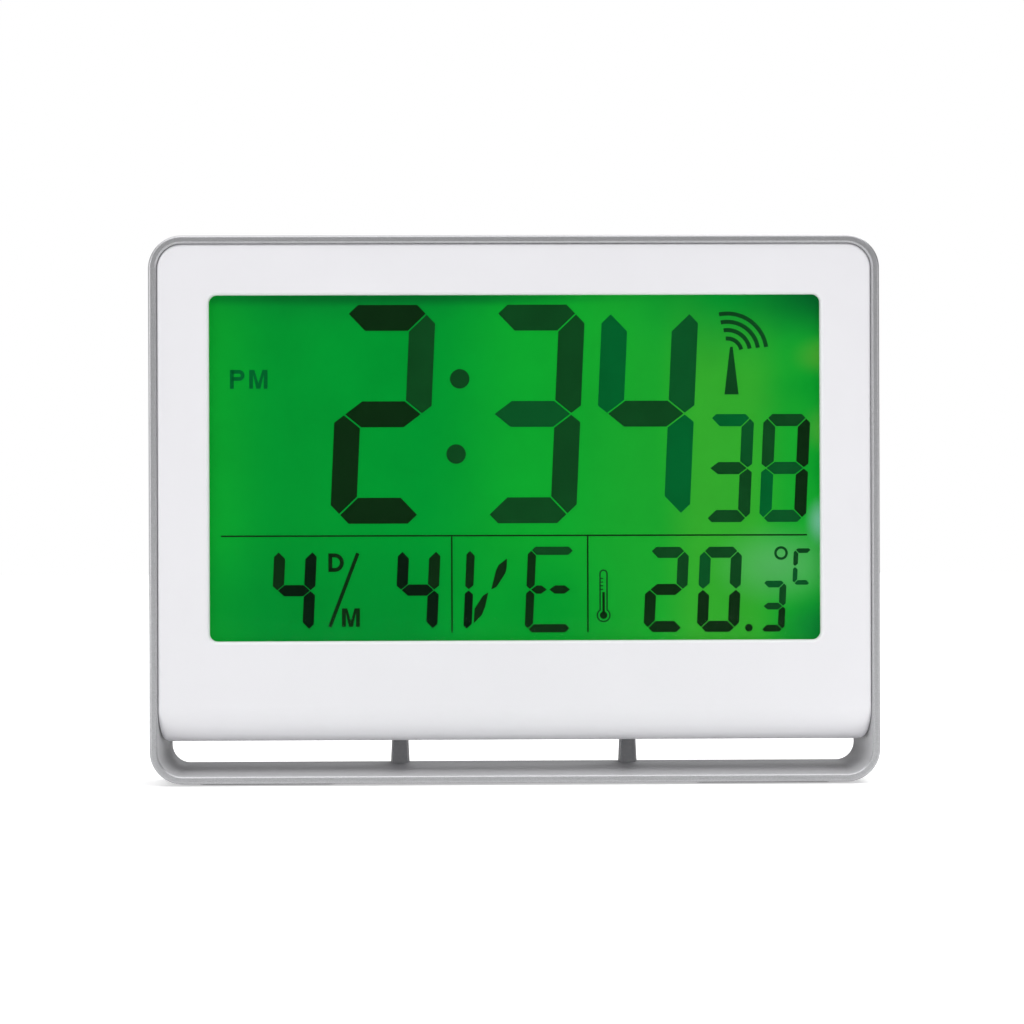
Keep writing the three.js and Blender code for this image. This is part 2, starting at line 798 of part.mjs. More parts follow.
function displayHolder() {
  const ring = cut(
    plate(holderSide, wellWall, lensFront, holderBack),
    plate(cavitySide, layerGap, lensFront - over, holderBack + over),
  );
  const rib = box(cavitySide.left - over, cavitySide.right + over, guideFront, holderBack,
    windowBottom - layerGap, windowBottom - layerGap + holderRibWidth);
  const lip = box(cavitySide.left - over, cavitySide.right + over, holderBack - layerGap,
    holderBack + wellWall, holderSide.top - holderEndWall - holderLip, holderSide.top);
  const ears = holderScrews.map(({ x, z, hand }) => {
    const edge = hand > 0 ? holderSide.top : holderSide.bottom;
    const [z0, z1] = [edge - hand * over, edge + hand * earReach].sort((a, b) => a - b);
    return box(x - earWidth / 2, x + earWidth / 2, earFront, earFront + earThickness, z0, z1);
  });
  const ledPockets = [-1, 1].map((hand) => {
    const near = cavitySide.right - over;
    const far = cavitySide.right + ledSize[0] + layerGap;
    const [x0, x1] = [hand * near, hand * far].sort((a, b) => a - b);
    return box(x0, x1, guideFront - layerGap, holderBack + over,
      ledZ - ledSize[1] / 2 - layerGap, ledZ + ledSize[1] / 2 + layerGap);
  });
  const boardScrewEnd = boardBack - boardScrewLength - layerGap;
  return cut(
    join(ring, rib, lip, ...ears),
    ...ledPockets,
    ...holderScrews.map(({ x, z }) =>
      rodAlongY(shankRadius + fitGap, x, z, earFront - over, holderBack, smallSides)),
    ...boardScrews.map(({ x, z }) =>
      rodAlongY(shankRadius + threadGap, x, z, boardScrewEnd, boardBack, smallSides)),
  );
}

const boardSide = {
  left: holderSide.left + layerGap,
  right: holderSide.right - layerGap,
  bottom: holderSide.bottom + wellWall,
  top: holderSide.bottom + wellWall + boardHeight,
};
const boardScrews = [-1, 1].map((hand) => ({
  x: hand * (holderSide.right - holderSideWall / 2), z: boardSide.bottom + boardScrewRise,
}));
const ledZ = windowBottom + ledRise;

function mainBoard() {
  return cut(
    box(boardSide.left, boardSide.right, boardFront, boardBack, boardSide.bottom, boardSide.top),
    ...boardScrews.map(({ x, z }) =>
      rodAlongY(shankRadius + fitGap, x, z, boardFront - over, boardBack + over, smallSides)),
  );
}

function led(hand) {
  const near = cavitySide.right;
  const [x0, x1] = [hand * near, hand * (near + ledSize[0])].sort((a, b) => a - b);
  return box(x0, x1, boardFront - layerGap - ledSize[2], boardFront - layerGap,
    ledZ - ledSize[1] / 2, ledZ + ledSize[1] / 2);
}

function lightGuide() {
  const side = { ...grown(glassSide, -layerGap), bottom: windowBottom + holderRibWidth + layerGap };
  return plate(side, layerGap, guideFront, guideBack);
}

function zebraStrip() {
  const bottom = glassSide.bottom + layerGap;
  return box(glassSide.left + stripInset, glassSide.right - stripInset, guideFront, boardFront - layerGap,
    bottom, bottom + stripWidth);
}

// Things on the main board

const onBoard = boardBack + layerGap;
const chipX = boardSide.left + chipFromSide;
const chipZ = boardSide.bottom + chipRise;

function chipCover() {
  const dome = quarterRound(chipHeight, edgeSteps)
    .map(([sunk, inset]) => new THREE.Vector2(chipRadius - inset, chipHeight - sunk));
  const profile = [new THREE.Vector2(0, 0), ...dome.reverse(), new THREE.Vector2(0, chipHeight)];
  return solidOf(new THREE.LatheGeometry(profile, roundSides).translate(chipX, onBoard, chipZ));
}

function crystal() {
  const start = chipX + crystalFromChip;
  return rodAlongX(crystalRadius, onBoard + crystalRadius, chipZ - crystalDrop, start,
    start + crystalLength, smallSides);
}

function capacitor() {
  return rodAlongY(capacitorRadius, chipX + capacitorFromChip, boardSide.bottom + capacitorRise, onBoard,
    onBoard + capacitorHeight);
}

function radioBoard() {
  const [width, height] = radioBoardSize;
  const right = boardSide.right - radioFromSide;
  const bottom = boardSide.bottom + radioRise;
  const side = { left: right - width, right, bottom, top: bottom + height };
  const shield = grown(side, -radioShieldInset);
  return join(
    box(side.left, side.right, onBoard, onBoard + boardThickness, side.bottom, side.top),
    box(shield.left, shield.right, onBoard, onBoard + radioShieldHeight, shield.bottom, shield.top),
  );
}

function temperatureSensor() {
  const beadY = onBoard + sensorReach;
  const bead = new THREE.SphereGeometry(sensorRadius, smallSides, smallSides / 2);
  const lead = (x) => box(x - layerGap, x + layerGap, onBoard, beadY, ventZ - layerGap, ventZ + layerGap);
  return join(
    solidOf(bead.translate(ventX, beadY, ventZ)),
    lead(ventX - sensorRadius / 2),
    lead(ventX + sensorRadius / 2),
  );
}

// Keys, switch and key board

function key(x) {
  return join(
    rodAlongY(keyRadius, x, keyRow, flangeBack - layerGap, trayFloor + keyProud),
    rodAlongY(keyRadius + keyFlange, x, keyRow, flangeFront, flangeBack),
    rodAlongY(plungerRadius, x, keyRow, plungerFront, flangeFront + layerGap, smallSides),
  );
}

function tactSwitch(x) {
  const half = tactSize / 2;
  return join(
    box(x - half, x + half, tactFront, tactBack, keyRow - half, keyRow + half),
    rodAlongY(tactButtonRadius, x, keyRow, tactBack - layerGap, buttonBack, smallSides),
  );
}

function switchKnob() {
  const [nubX, nubZ] = switchNub.map((size) => size / 2);
  const [flangeX, flangeZ] = switchFlange.map((size) => size / 2);
  const stemFront = keyBoardBack + layerGap + switchBody[2] + layerGap;
  return join(
    box(switchX - nubX, switchX + nubX, flangeBack - layerGap, trayFloor + keyProud,
      keyRow - nubZ, keyRow + nubZ),
    box(switchX - flangeX, switchX + flangeX, flangeFront, flangeBack, keyRow - flangeZ, keyRow + flangeZ),
    box(switchX - switchStem, switchX + switchStem, stemFront, flangeFront + layerGap,
      keyRow - switchStem, keyRow + switchStem),
  );
}

function slideSwitch() {
  const [width, height, depth] = switchBody;
  const centre = switchX + switchTravel / 2;
  const front = keyBoardBack + layerGap / 2;
  return box(centre - width / 2, centre + width / 2, front, front + depth,
    keyRow - height / 2, keyRow + height / 2);
}

function keyBoard() {
  const reach = pillarRadius + layerGap;
  return cut(
    box(pillars[0] - reach, pillars[1] + reach, keyBoardFront, keyBoardBack, tray.bottom, tray.top),
    ...pillars.map((x) =>
      rodAlongY(shankRadius + fitGap, x, keyRow, keyBoardFront - over, keyBoardBack + over, smallSides)),
  );
}

// Driven from the front, so its head is on the other side
function keyBoardScrew(x) {
  const turned = geometryOf(screw(0, 0, 0, boardScrewLength)).rotateZ(Math.PI);
  return solidOf(turned.translate(x, keyBoardFront - layerGap, keyRow));
}

function ribbonCable() {
  const half = ribbonThickness / 2;
  const near = onBoard + half;
  const far = keyBoardFront - layerGap - half;
  const low = boardSide.top - ribbonRun;
  const route = [
    [near, low], [near, boardSide.top - over], [far, tray.bottom + over], [far, tray.bottom + ribbonRun],
  ];
  const shape = new THREE.Shape([
    ...route.map(([y, z]) => new THREE.Vector2(y + half, z)),
    ...route.map(([y, z]) => new THREE.Vector2(y - half, z)).reverse(),
  ]);
  const geometry = new THREE.ExtrudeGeometry(shape, { depth: ribbonWidth, bevelEnabled: false });
  const axes = new THREE.Matrix4().makeBasis(
    new THREE.Vector3(0, 1, 0), new THREE.Vector3(0, 0, 1), new THREE.Vector3(1, 0, 0));
  const left = firstKeyX + ribbonFromKey - ribbonWidth / 2;
  return solidOf(geometry.applyMatrix4(axes).translate(left, 0, 0));
}

// Aerial and buzzer

function antennaCoil() {
  const [x0, x1] = [coilX - coilLength / 2, coilX + coilLength / 2];
  return cut(
    rodAlongX(coilRadius, rodDepth, rodZ, x0, x1),
    rodAlongX(rodRadius + layerGap, rodDepth, rodZ, x0 - over, x1 + over),
  );
}

function buzzer() {
  const back = rearWallFront - layerGap;
  return cut(
    rodAlongY(buzzerRadius, buzzerX, buzzerZ, back - buzzerHeight, back),
    rodAlongY(slotWidth, buzzerX, buzzerZ, back - buzzerHeight / 2, back + over, smallSides),
  );
}

// Cells and contacts

const leftContact = bayLeft + layerGap + contactThickness;
const rightContact = bayRight - layerGap - contactThickness;
const upperCellLeft = leftContact + springLength + fitGap;
const lowerCellRight = rightContact - springLength - fitGap;
const tailWidth = 3;
const terminalTails = [upperCellZ, lowerCellZ + cellRadius / 2].map((z) => (
  { x: rightContact + contactThickness / 2, z }));

// The flat end is at x, and the nub points away from it to the side that hand gives
function cell(x, z, hand) {
  const shoulder = cellLength - nubLength;
  const profile = [
    [0, 0], [cellRadius - layerGap, 0], [cellRadius, layerGap], [cellRadius, shoulder - layerGap],
    [cellRadius - layerGap, shoulder], [nubRadius, shoulder], [nubRadius, cellLength], [0, cellLength],
  ].map(([radius, along]) => new THREE.Vector2(radius, along));
  const upright = new THREE.LatheGeometry(profile, roundSides);
  return solidOf(upright.rotateZ(-hand * Math.PI / 2).translate(x, cellDepth, z));
}

// A conical spring, wide where it stands on its contact at x, one unbroken wire
function spring(x, z, hand) {
  class Coil extends THREE.Curve {
    getPoint(along, target = new THREE.Vector3()) {
      const angle = along * springTurns * 2 * Math.PI;
      const radius = THREE.MathUtils.lerp(springWideRadius, springNarrowRadius, along);
      const reach = THREE.MathUtils.lerp(-springWire / 2, springLength - springWire, along);
      return target.set(x + hand * reach, cellDepth + radius * Math.cos(angle), z + radius * Math.sin(angle));
    }
  }
  const wire = new THREE.Shape().absarc(0, 0, springWire, 0, 2 * Math.PI);
  return solidOf(new THREE.ExtrudeGeometry(wire, {
    steps: springTurns * springSteps, curveSegments: wireSides, bevelEnabled: false, extrudePath: new Coil(),
  }));
}

function dimple(x, z, hand) {
  const [x0, x1] = [x - hand * contactThickness / 2, x + hand * dimpleHeight].sort((a, b) => a - b);
  return rodAlongX(nubRadius, cellDepth, z, x0, x1, smallSides);
}

function contactPlate(x0, z0, z1) {
  const reach = cellRadius - contactThickness;
  return box(x0, x0 + contactThickness, cellDepth - reach, cellDepth + reach, z0, z1);
}

function tail({ x, z }) {
  return box(x - contactThickness / 2, x + contactThickness / 2, boardBack - boardThickness / 2,
    cellDepth, z - tailWidth / 2, z + tailWidth / 2);
}

function bridgeContact() {
  const reach = cellRadius - contactThickness;
  return join(
    contactPlate(bayLeft + layerGap, lowerCellZ - reach, upperCellZ + reach),
    spring(leftContact, upperCellZ, 1),
    dimple(leftContact, lowerCellZ, 1),
  );
}

function plusContact() {
  const reach = cellRadius - contactThickness;
  return join(
    contactPlate(rightContact, upperCellZ - reach, upperCellZ + reach),
    dimple(rightContact, upperCellZ, -1),
    tail(terminalTails[0]),
  );
}

function minusContact() {
  const reach = cellRadius - contactThickness;
  return join(
    contactPlate(rightContact, lowerCellZ - reach, lowerCellZ + reach),
    spring(rightContact, lowerCellZ, -1),
    tail(terminalTails[1]),
  );
}

function batteryDoor() {
  const doorFront = rearFace - doorThickness;
  const middle = (door.left + door.right) / 2;
  const [latchLeft, latchRight] = [middle - latchWidth / 2, middle + latchWidth / 2];
  const latchTop = door.bottom + latchLength;
  const slit = (x0, x1, z0, z1) => box(x0, x1, doorFront - over, rearFace + over, z0, z1);
  const tabs = tabXs.flatMap((x) => {
    const [x0, x1] = [x - doorTabWidth / 2, x + doorTabWidth / 2];
    return [
      box(x0, x1, tabFront, doorFront + layerGap, door.top - doorTabThickness, door.top),
      box(x0, x1, tabFront, tabBack, door.top - doorTabThickness, doorPivot.z + doorTabReach),
    ];
  });
  return cut(
    join(plate(door, wellWall, doorFront, rearFace), ...tabs),
    slit(latchLeft - latchSlit, latchLeft, door.bottom - over, latchTop),
    slit(latchRight, latchRight + latchSlit, door.bottom - over, latchTop),
  );
}

// Leg

function leg() {
  const foot = caseBottom + legFootGap;
  const side = { left: -legWidth / 2, right: legWidth / 2, bottom: foot, top: legPivotZ };
  const outline = roundedOutline(side, legCornerRadius, layerGap);
  const skinFront = legBack - legSkin;
  const middle = (foot + legPivotZ) / 2;
  const hollow = (bottom, top) =>
    box(side.left + legRib, side.right - legRib, legFront - over, skinFront, bottom, top);
  const blade = cut(
    loft([{ y: legFront, outline }, { y: legBack, outline }]),
    hollow(foot + legRib * 2, middle - legRib / 2),
    hollow(middle + legRib / 2, legPivotZ - barrelRadius - legRib),
  );
  return cut(
    join(blade, rodAlongX(barrelRadius, legPivotY, legPivotZ, side.left, side.right)),
    rodAlongX(pinRadius + pinGap, legPivotY, legPivotZ, side.left - over, side.right + over),
  );
}

// Finishes

const finishes = {
  silver: { color: 0xb2b3b6, roughness: 0.38, metalness: 0.7 },
  white: { color: 0xe9e8ec, roughness: 0.42, metalness: 0 },
  rearWhite: { color: 0xdedde0, roughness: 0.55, metalness: 0 },
  clear: { color: 0xf4f8f6, roughness: 0.05, metalness: 0 },
  green: { color: 0x149a2c, roughness: 0.2, metalness: 0 },
  guide: { color: 0x9be08a, roughness: 0.4, metalness: 0 },
  board: { color: 0x1f6b3a, roughness: 0.5, metalness: 0 },
  black: { color: 0x1c1c1e, roughness: 0.6, metalness: 0 },
  rubber: { color: 0x3a3a3c, roughness: 0.8, metalness: 0 },
  grey: { color: 0x8d8e92, roughness: 0.55, metalness: 0 },
  steel: { color: 0xc4c6c8, roughness: 0.3, metalness: 1 },
  copper: { color: 0xb87333, roughness: 0.35, metalness: 1 },
  ferrite: { color: 0x3c3a3a, roughness: 0.7, metalness: 0 },
  sleeve: { color: 0x2f6fb0, roughness: 0.35, metalness: 0.2 },
  led: { color: 0xd8f0c8, roughness: 0.3, metalness: 0 },
  ribbon: { color: 0xc9cacc, roughness: 0.6, metalness: 0 },
};

const clock = new THREE.Group();

function addPiece(name, solid, finish) {
  const mesh = new THREE.Mesh(geometryOf(solid), new THREE.MeshStandardMaterial(finishes[finish]));
  mesh.name = name;
  clock.add(mesh);
}

addPiece('frame', frame(), 'silver');
[-1, 1].forEach((hand) => {
  addPiece(hand < 0 ? 'foot_left' : 'foot_right', footPad(hand, 0, 0, footThickness), 'rubber');
});
addPiece('front_shell', frontShell(), 'white');
addPiece('rear_housing', rearHousing(), 'rearWhite');

const lensSide = grown(windowSide, lensMargin);
addPiece('window_lens', plate(lensSide, layerGap, lensFront, lensFront + lensThickness), 'clear');
addPiece('lcd_glass', plate(glassSide, layerGap, glassFront, glassBack), 'green');
addPiece('light_guide', lightGuide(), 'guide');
addPiece('display_holder', displayHolder(), 'white');
addPiece('zebra_strip', zebraStrip(), 'rubber');
addPiece('backlight_led_left', led(-1), 'led');
addPiece('backlight_led_right', led(1), 'led');

addPiece('main_board', mainBoard(), 'board');
addPiece('chip_cover', chipCover(), 'black');
addPiece('crystal_can', crystal(), 'steel');
addPiece('capacitor', capacitor(), 'black');
addPiece('radio_board', radioBoard(), 'board');
addPiece('temperature_sensor', temperatureSensor(), 'black');

const keyNames = ['key_mode', 'key_set', 'key_up', 'key_down', 'key_light'];
keyXs.forEach((x, place) => {
  addPiece(keyNames[place], key(x), 'grey');
  addPiece(`tact_switch_${place + 1}`, tactSwitch(x), 'black');
});
addPiece('alarm_knob', switchKnob(), 'grey');
addPiece('alarm_switch', slideSwitch(), 'steel');
addPiece('key_board', keyBoard(), 'board');
addPiece('ribbon_cable', ribbonCable(), 'ribbon');

addPiece('ferrite_rod', rodAlongX(rodRadius, rodDepth, rodZ, -rodLength / 2, rodLength / 2), 'ferrite');
addPiece('antenna_coil', antennaCoil(), 'copper');
addPiece('buzzer', buzzer(), 'black');

addPiece('battery_upper', cell(upperCellLeft, upperCellZ, 1), 'sleeve');
addPiece('battery_lower', cell(lowerCellRight, lowerCellZ, -1), 'sleeve');
addPiece('bridge_contact', bridgeContact(), 'steel');
addPiece('plus_contact', plusContact(), 'steel');
addPiece('minus_contact', minusContact(), 'steel');
addPiece('battery_door', batteryDoor(), 'rearWhite');

addPiece('stand_leg', leg(), 'rearWhite');
addPiece('leg_pin', rodAlongX(pinRadius, legPivotY, legPivotZ, -pinHalf, pinHalf), 'steel');

lugs.forEach(({ x, z }, place) => {
  addPiece(`frame_screw_${place + 1}`, screw(x, z, lugSeat, frameScrewLength), 'steel');
});
caseScrews.forEach(({ x, z }, place) => {
  addPiece(`case_screw_${place + 1}`, screw(x, z, caseSeat + layerGap / 2, caseScrewLength), 'steel');
});
const earSeat = earFront + earThickness + layerGap / 2;
holderScrews.forEach(({ x, z }, place) => {
  addPiece(`holder_screw_${place + 1}`, screw(x, z, earSeat, holderScrewLength), 'steel');
});
boardScrews.forEach(({ x, z }, place) => {
  addPiece(`board_screw_${place + 1}`, screw(x, z, boardBack + layerGap / 2, boardScrewLength), 'steel');
});
pillars.forEach((x, place) => {
  addPiece(`key_board_screw_${place + 1}`, keyBoardScrew(x), 'steel');
});

// The origin is on the table, under the middle of the clock
clock.position.set(0, -frameDepth / 2, 0);

export default clock;
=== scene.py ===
# Digital table clock in a silver frame: surfaces, display figures, studio and camera.
# The frame's own unit is the metre. Sizes below are millimetres and are turned at the mesh.
import json
import math
import bmesh
import bpy
from mathutils import Matrix, Vector

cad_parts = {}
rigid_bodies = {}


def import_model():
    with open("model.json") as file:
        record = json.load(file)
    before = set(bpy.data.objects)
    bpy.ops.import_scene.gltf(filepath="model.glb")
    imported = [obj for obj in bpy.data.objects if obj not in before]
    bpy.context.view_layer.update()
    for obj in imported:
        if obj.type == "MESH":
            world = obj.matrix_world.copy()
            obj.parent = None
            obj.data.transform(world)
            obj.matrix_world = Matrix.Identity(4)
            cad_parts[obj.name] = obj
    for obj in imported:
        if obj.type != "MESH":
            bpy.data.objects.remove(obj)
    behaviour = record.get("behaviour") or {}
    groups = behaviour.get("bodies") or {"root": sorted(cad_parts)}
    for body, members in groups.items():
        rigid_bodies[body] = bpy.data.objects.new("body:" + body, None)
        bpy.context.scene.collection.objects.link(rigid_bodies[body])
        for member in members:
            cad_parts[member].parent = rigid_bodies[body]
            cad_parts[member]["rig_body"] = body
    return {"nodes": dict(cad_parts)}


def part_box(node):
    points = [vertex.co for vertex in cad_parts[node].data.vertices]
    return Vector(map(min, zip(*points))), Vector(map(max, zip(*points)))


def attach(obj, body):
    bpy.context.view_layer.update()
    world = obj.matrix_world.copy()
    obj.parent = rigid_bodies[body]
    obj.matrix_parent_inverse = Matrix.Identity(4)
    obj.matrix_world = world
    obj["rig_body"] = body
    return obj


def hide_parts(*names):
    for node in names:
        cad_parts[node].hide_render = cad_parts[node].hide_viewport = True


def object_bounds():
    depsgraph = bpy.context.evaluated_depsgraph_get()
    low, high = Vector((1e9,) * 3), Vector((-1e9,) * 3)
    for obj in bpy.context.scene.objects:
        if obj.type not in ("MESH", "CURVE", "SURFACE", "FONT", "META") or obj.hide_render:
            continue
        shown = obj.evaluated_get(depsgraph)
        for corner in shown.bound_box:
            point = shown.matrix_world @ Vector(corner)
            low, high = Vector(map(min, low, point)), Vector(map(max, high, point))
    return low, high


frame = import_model()
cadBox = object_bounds()
mm = 0.001


# Puts a mesh, a lamp or a camera into the scene
def addThing(name, data):
    thing = bpy.data.objects.new(name, data)
    bpy.context.scene.collection.objects.link(thing)
    return thing


# The camera stands about a metre in front, a little above the middle of the clock
camera = {
    "place": (-19.6, -987.2, 83.8), "yaw": -1.101, "pitch": -0.096, "roll": -0.18,
    "lens": 113.68, "sensor": 36.0, "nearest": 50, "farthest": 50000,
}


def addCamera():
    yaw, pitch, roll = (math.radians(camera[turn]) for turn in ("yaw", "pitch", "roll"))
    forward = Vector((-math.sin(yaw) * math.cos(pitch), math.cos(yaw) * math.cos(pitch), math.sin(pitch)))
    level = Vector((math.cos(yaw), math.sin(yaw), 0))
    upright = level.cross(forward)
    right = math.cos(roll) * level + math.sin(roll) * upright
    up = -math.sin(roll) * level + math.cos(roll) * upright
    data = bpy.data.cameras.new("photo_camera")
    data.sensor_width = camera["sensor"]
    data.lens = camera["lens"]
    data.clip_start = camera["nearest"] * mm
    data.clip_end = camera["farthest"] * mm
    thing = addThing("photo_camera", data)
    turned = Matrix((right, up, -forward)).transposed().to_4x4()
    thing.matrix_world = Matrix.Translation(Vector(camera["place"]) * mm) @ turned
    bpy.context.scene.camera = thing


addCamera()
bpy.context.scene.view_settings.view_transform = "Standard"
print("camera placed")


# Material helpers

# A screen colour such as "#E9E8EC" as the linear colour that the shaders work in
def linear(hexCode, share=1.0):
    parts = [int(hexCode[start:start + 2], 16) / 255 for start in (1, 3, 5)]
    turned = [part / 12.92 if part <= 0.04045 else ((part + 0.055) / 1.055) ** 2.4 for part in parts]
    return (*[part * share for part in turned], 1.0)


# Adds a node; settings fill its properties or its sockets, and links feed its sockets
def addNode(tree, kind, settings=None, links=None):
    node = tree.nodes.new(kind)
    for name, value in (settings or {}).items():
        if isinstance(name, int) or name in node.inputs:
            node.inputs[name].default_value = value
        else:
            setattr(node, name, value)
    for name, source in (links or {}).items():
        output = source.outputs[0] if hasattr(source, "outputs") else source
        tree.links.new(output, node.inputs[name])
    return node


# The emptied node tree of a material or of the surroundings
def emptyTree(owner):
    owner.use_nodes = True
    owner.node_tree.nodes.clear()
    return owner.node_tree


# A fresh material, its shader joined to the output, and the spot on the piece for its textures
def newMaterial(name, settings):
    material = bpy.data.materials.new(name)
    tree = emptyTree(material)
    shader = addNode(tree, "ShaderNodeBsdfPrincipled", settings)
    addNode(tree, "ShaderNodeOutputMaterial", links={"Surface": shader})
    return material, tree, shader, addNode(tree, "ShaderNodeTexCoord").outputs["Object"]


# Texture scale for a grain of the given size in millimetres
def grainOf(size):
    return 1 / (size * mm)


# Colours a surface with two tones, mixed by a texture
def toned(tree, shader, source, darker, lighter):
    mixed = addNode(tree, "ShaderNodeMix", {"data_type": "RGBA", 6: linear(darker), 7: linear(lighter)},
                    {0: source})
    tree.links.new(mixed.outputs[2], shader.inputs["Base Color"])


# Spreads a surface's roughness evenly about its middle by a texture
def glossed(tree, shader, source, middle, reach):
    rough = addNode(tree, "ShaderNodeMapRange", {"To Min": middle - reach, "To Max": middle + reach},
                    {"Value": source})
    tree.links.new(rough.outputs[0], shader.inputs["Roughness"])


# Fine relief on a surface, its depth in millimetres
def relief(tree, shader, source, depth):
    bump = addNode(tree, "ShaderNodeBump", {"Strength": 1.0, "Distance": depth * mm}, {"Height": source})
    tree.links.new(bump.outputs[0], shader.inputs["Normal"])


# Stops of a colour ramp: each a position and the colour there
def fillRamp(ramp, stops):
    while len(ramp.elements) < len(stops):
        ramp.elements.new(0.5)
    for element, (position, colour) in zip(ramp.elements, stops):
        element.position = position
        element.color = linear(colour)


# 1 on light paths of any of the given kinds, else 0
def pathsOf(tree, *kinds):
    path = addNode(tree, "ShaderNodeLightPath")
    found = path.outputs[kinds[0]]
    for kind in kinds[1:]:
        found = addNode(tree, "ShaderNodeMath", {"operation": "MAXIMUM"},
                        {0: found, 1: path.outputs[kind]})
    return found


# Satin silver paint on moulded ABS: metal flakes under a soft lacquer, with a faint sprayed texture
silverPaint = {
    "darkFlake": "#A4A4A6", "lightFlake": "#B0B0B3", "roughness": 0.38, "glossReach": 0.03,
    "metal": 0.7, "lacquer": 0.35, "lacquerRoughness": 0.15,
    "flake": 0.25, "spray": 0.9, "sprayDepth": 0.0006,
    "thinPaint": "#BEBEC0", "bareAbsInShade": "#828285", "thinsAndShadesFrom": 10.0, "thinsAndShadesTo": 30.0,
    "thinRoughness": 0.55, "thinReach": 0.06, "patchiness": 0.12,
}


# Inside the band the spray gun hardly reaches: dull grey ABS shows through the thinning paint. The grey
# darkens further back as painted shade, deep in the band under the case.
def oversprayedAbsWithShade():
    look, front = silverPaint, cadBox[0].y
    material, tree, shader, spot = newMaterial("oversprayed_grey_abs_with_painted_shade", {
        "IOR": 1.53, "Specular IOR Level": 0.15,
    })
    axes = addNode(tree, "ShaderNodeSeparateXYZ", links={0: spot})
    # darker with depth behind the front: thinning paint and painted shade
    deep = addNode(tree, "ShaderNodeMapRange", {
        "From Min": front + look["thinsAndShadesFrom"] * mm, "From Max": front + look["thinsAndShadesTo"] * mm,
    }, {"Value": axes.outputs[1]})
    mist = addNode(tree, "ShaderNodeTexNoise", {"Scale": grainOf(look["spray"]), "Detail": 4.0},
                   {"Vector": spot})
    patches = addNode(tree, "ShaderNodeMapRange", {
        "To Min": -look["patchiness"], "To Max": look["patchiness"],
    }, {"Value": mist})
    bare = addNode(tree, "ShaderNodeMath", {"operation": "ADD", "use_clamp": True}, {0: deep, 1: patches})
    toned(tree, shader, bare, look["thinPaint"], look["bareAbsInShade"])
    glossed(tree, shader, mist, look["thinRoughness"], look["thinReach"])
    return material


def satinSilverPaint():
    look = silverPaint
    material, tree, shader, spot = newMaterial("satin_silver_paint", {
        "Metallic": look["metal"], "Coat Weight": look["lacquer"],
        "Coat Roughness": look["lacquerRoughness"],
    })
    # real flakes are 0.03 mm, drawn about eight times as coarse so that they show
    flakes = addNode(tree, "ShaderNodeTexVoronoi", {"Scale": grainOf(look["flake"])}, {"Vector": spot})
    tone = addNode(tree, "ShaderNodeSeparateColor", links={0: flakes.outputs["Color"]})
    toned(tree, shader, tone, look["darkFlake"], look["lightFlake"])
    glossed(tree, shader, tone.outputs[1], look["roughness"], look["glossReach"])
    spray = addNode(tree, "ShaderNodeTexNoise", {"Scale": grainOf(look["spray"]), "Detail": 3.0},
                    {"Vector": spot})
    relief(tree, shader, spray, look["sprayDepth"])
    return material


# Surfaces that are cloudy in tone and finely grained. Clouds: size and detail. Gloss: roughness and
# its reach. Grain: size, detail and depth.
grainySurfaces = {
    # injection-moulded ABS: an even body colour, a soft sheen and the mould's eroded grain; flow in
    # the melt leaves broad, hardly visible clouds
    "moulded_white_abs": {
        "shader": {"IOR": 1.53}, "tones": ("#E6E5E9", "#EBEAEE"), "clouds": (35, 2.0),
        "gloss": (0.34, 0.05), "grain": (0.5, 4.0, 0.004),
    },
    "eroded_white_abs": {
        "shader": {"IOR": 1.53}, "tones": ("#D9D8DB", "#E0DFE2"), "clouds": (35, 2.0),
        "gloss": (0.52, 0.05), "grain": (0.55, 4.0, 0.03),
    },
    "moulded_grey_abs": {
        "shader": {"IOR": 1.53}, "tones": ("#8B8B8E", "#929296"), "clouds": (35, 2.0),
        "gloss": (0.45, 0.05), "grain": (0.4, 4.0, 0.01),
    },
    # black moulded resin of the chip cover, the small switches and the buzzer
    "moulded_black_resin": {
        "shader": {"IOR": 1.53}, "tones": ("#1C1C1E", "#262628"), "clouds": (35, 2.0),
        "gloss": (0.5, 0.05), "grain": (0.3, 4.0, 0.012),
    },
    # moulded black rubber: dull, with a dusty bloom
    "moulded_black_rubber": {
        "shader": {"Specular IOR Level": 0.35}, "tones": ("#1B1B1C", "#2E2E2F"), "clouds": (4, 5.0),
        "gloss": (0.78, 0.08), "grain": (0.8, 2.0, 0.03),
    },
    # rolled steel, nickel or zinc plated: bright, with fine drawn lines and slightly uneven plating
    "nickel_plated_steel": {
        "shader": {"Metallic": 1.0}, "tones": ("#A9AAA8", "#C9CAC8"), "clouds": (0.15, 3.0),
        "gloss": (0.28, 0.08), "drawnOut": 0.06,
    },
    # sintered ferrite: dark grey, dull, with tiny pits
    "sintered_ferrite": {
        "shader": {"Roughness": 0.6}, "tones": ("#2A2A2C", "#3C3C3E"), "clouds": (0.4, 5.0),
        "grain": (0.4, 5.0, 0.05),
    },
    # clear lamp resin with a yellowish phosphor below
    "lamp_resin": {
        "shader": {"Roughness": 0.18, "Coat Weight": 0.5}, "tones": ("#D8EFC4", "#E9E27A"),
        "clouds": (1.2, 2.0),
    },
}


def grainySurface(name):
    look = grainySurfaces[name]
    material, tree, shader, spot = newMaterial(name, look["shader"])
    if "drawnOut" in look:
        spot = addNode(tree, "ShaderNodeMapping", {"Scale": (1.0, 1.0, look["drawnOut"])},
                       {"Vector": spot})
    size, detail = look["clouds"]
    clouds = addNode(tree, "ShaderNodeTexNoise", {"Scale": grainOf(size), "Detail": detail},
                     {"Vector": spot})
    toned(tree, shader, clouds, *look["tones"])
    if "gloss" in look:
        glossed(tree, shader, clouds, *look["gloss"])
    if "grain" in look:
        size, detail, depth = look["grain"]
        grain = addNode(tree, "ShaderNodeTexNoise", {"Scale": grainOf(size), "Detail": detail},
                        {"Vector": spot})
        relief(tree, shader, grain, depth)
    return material


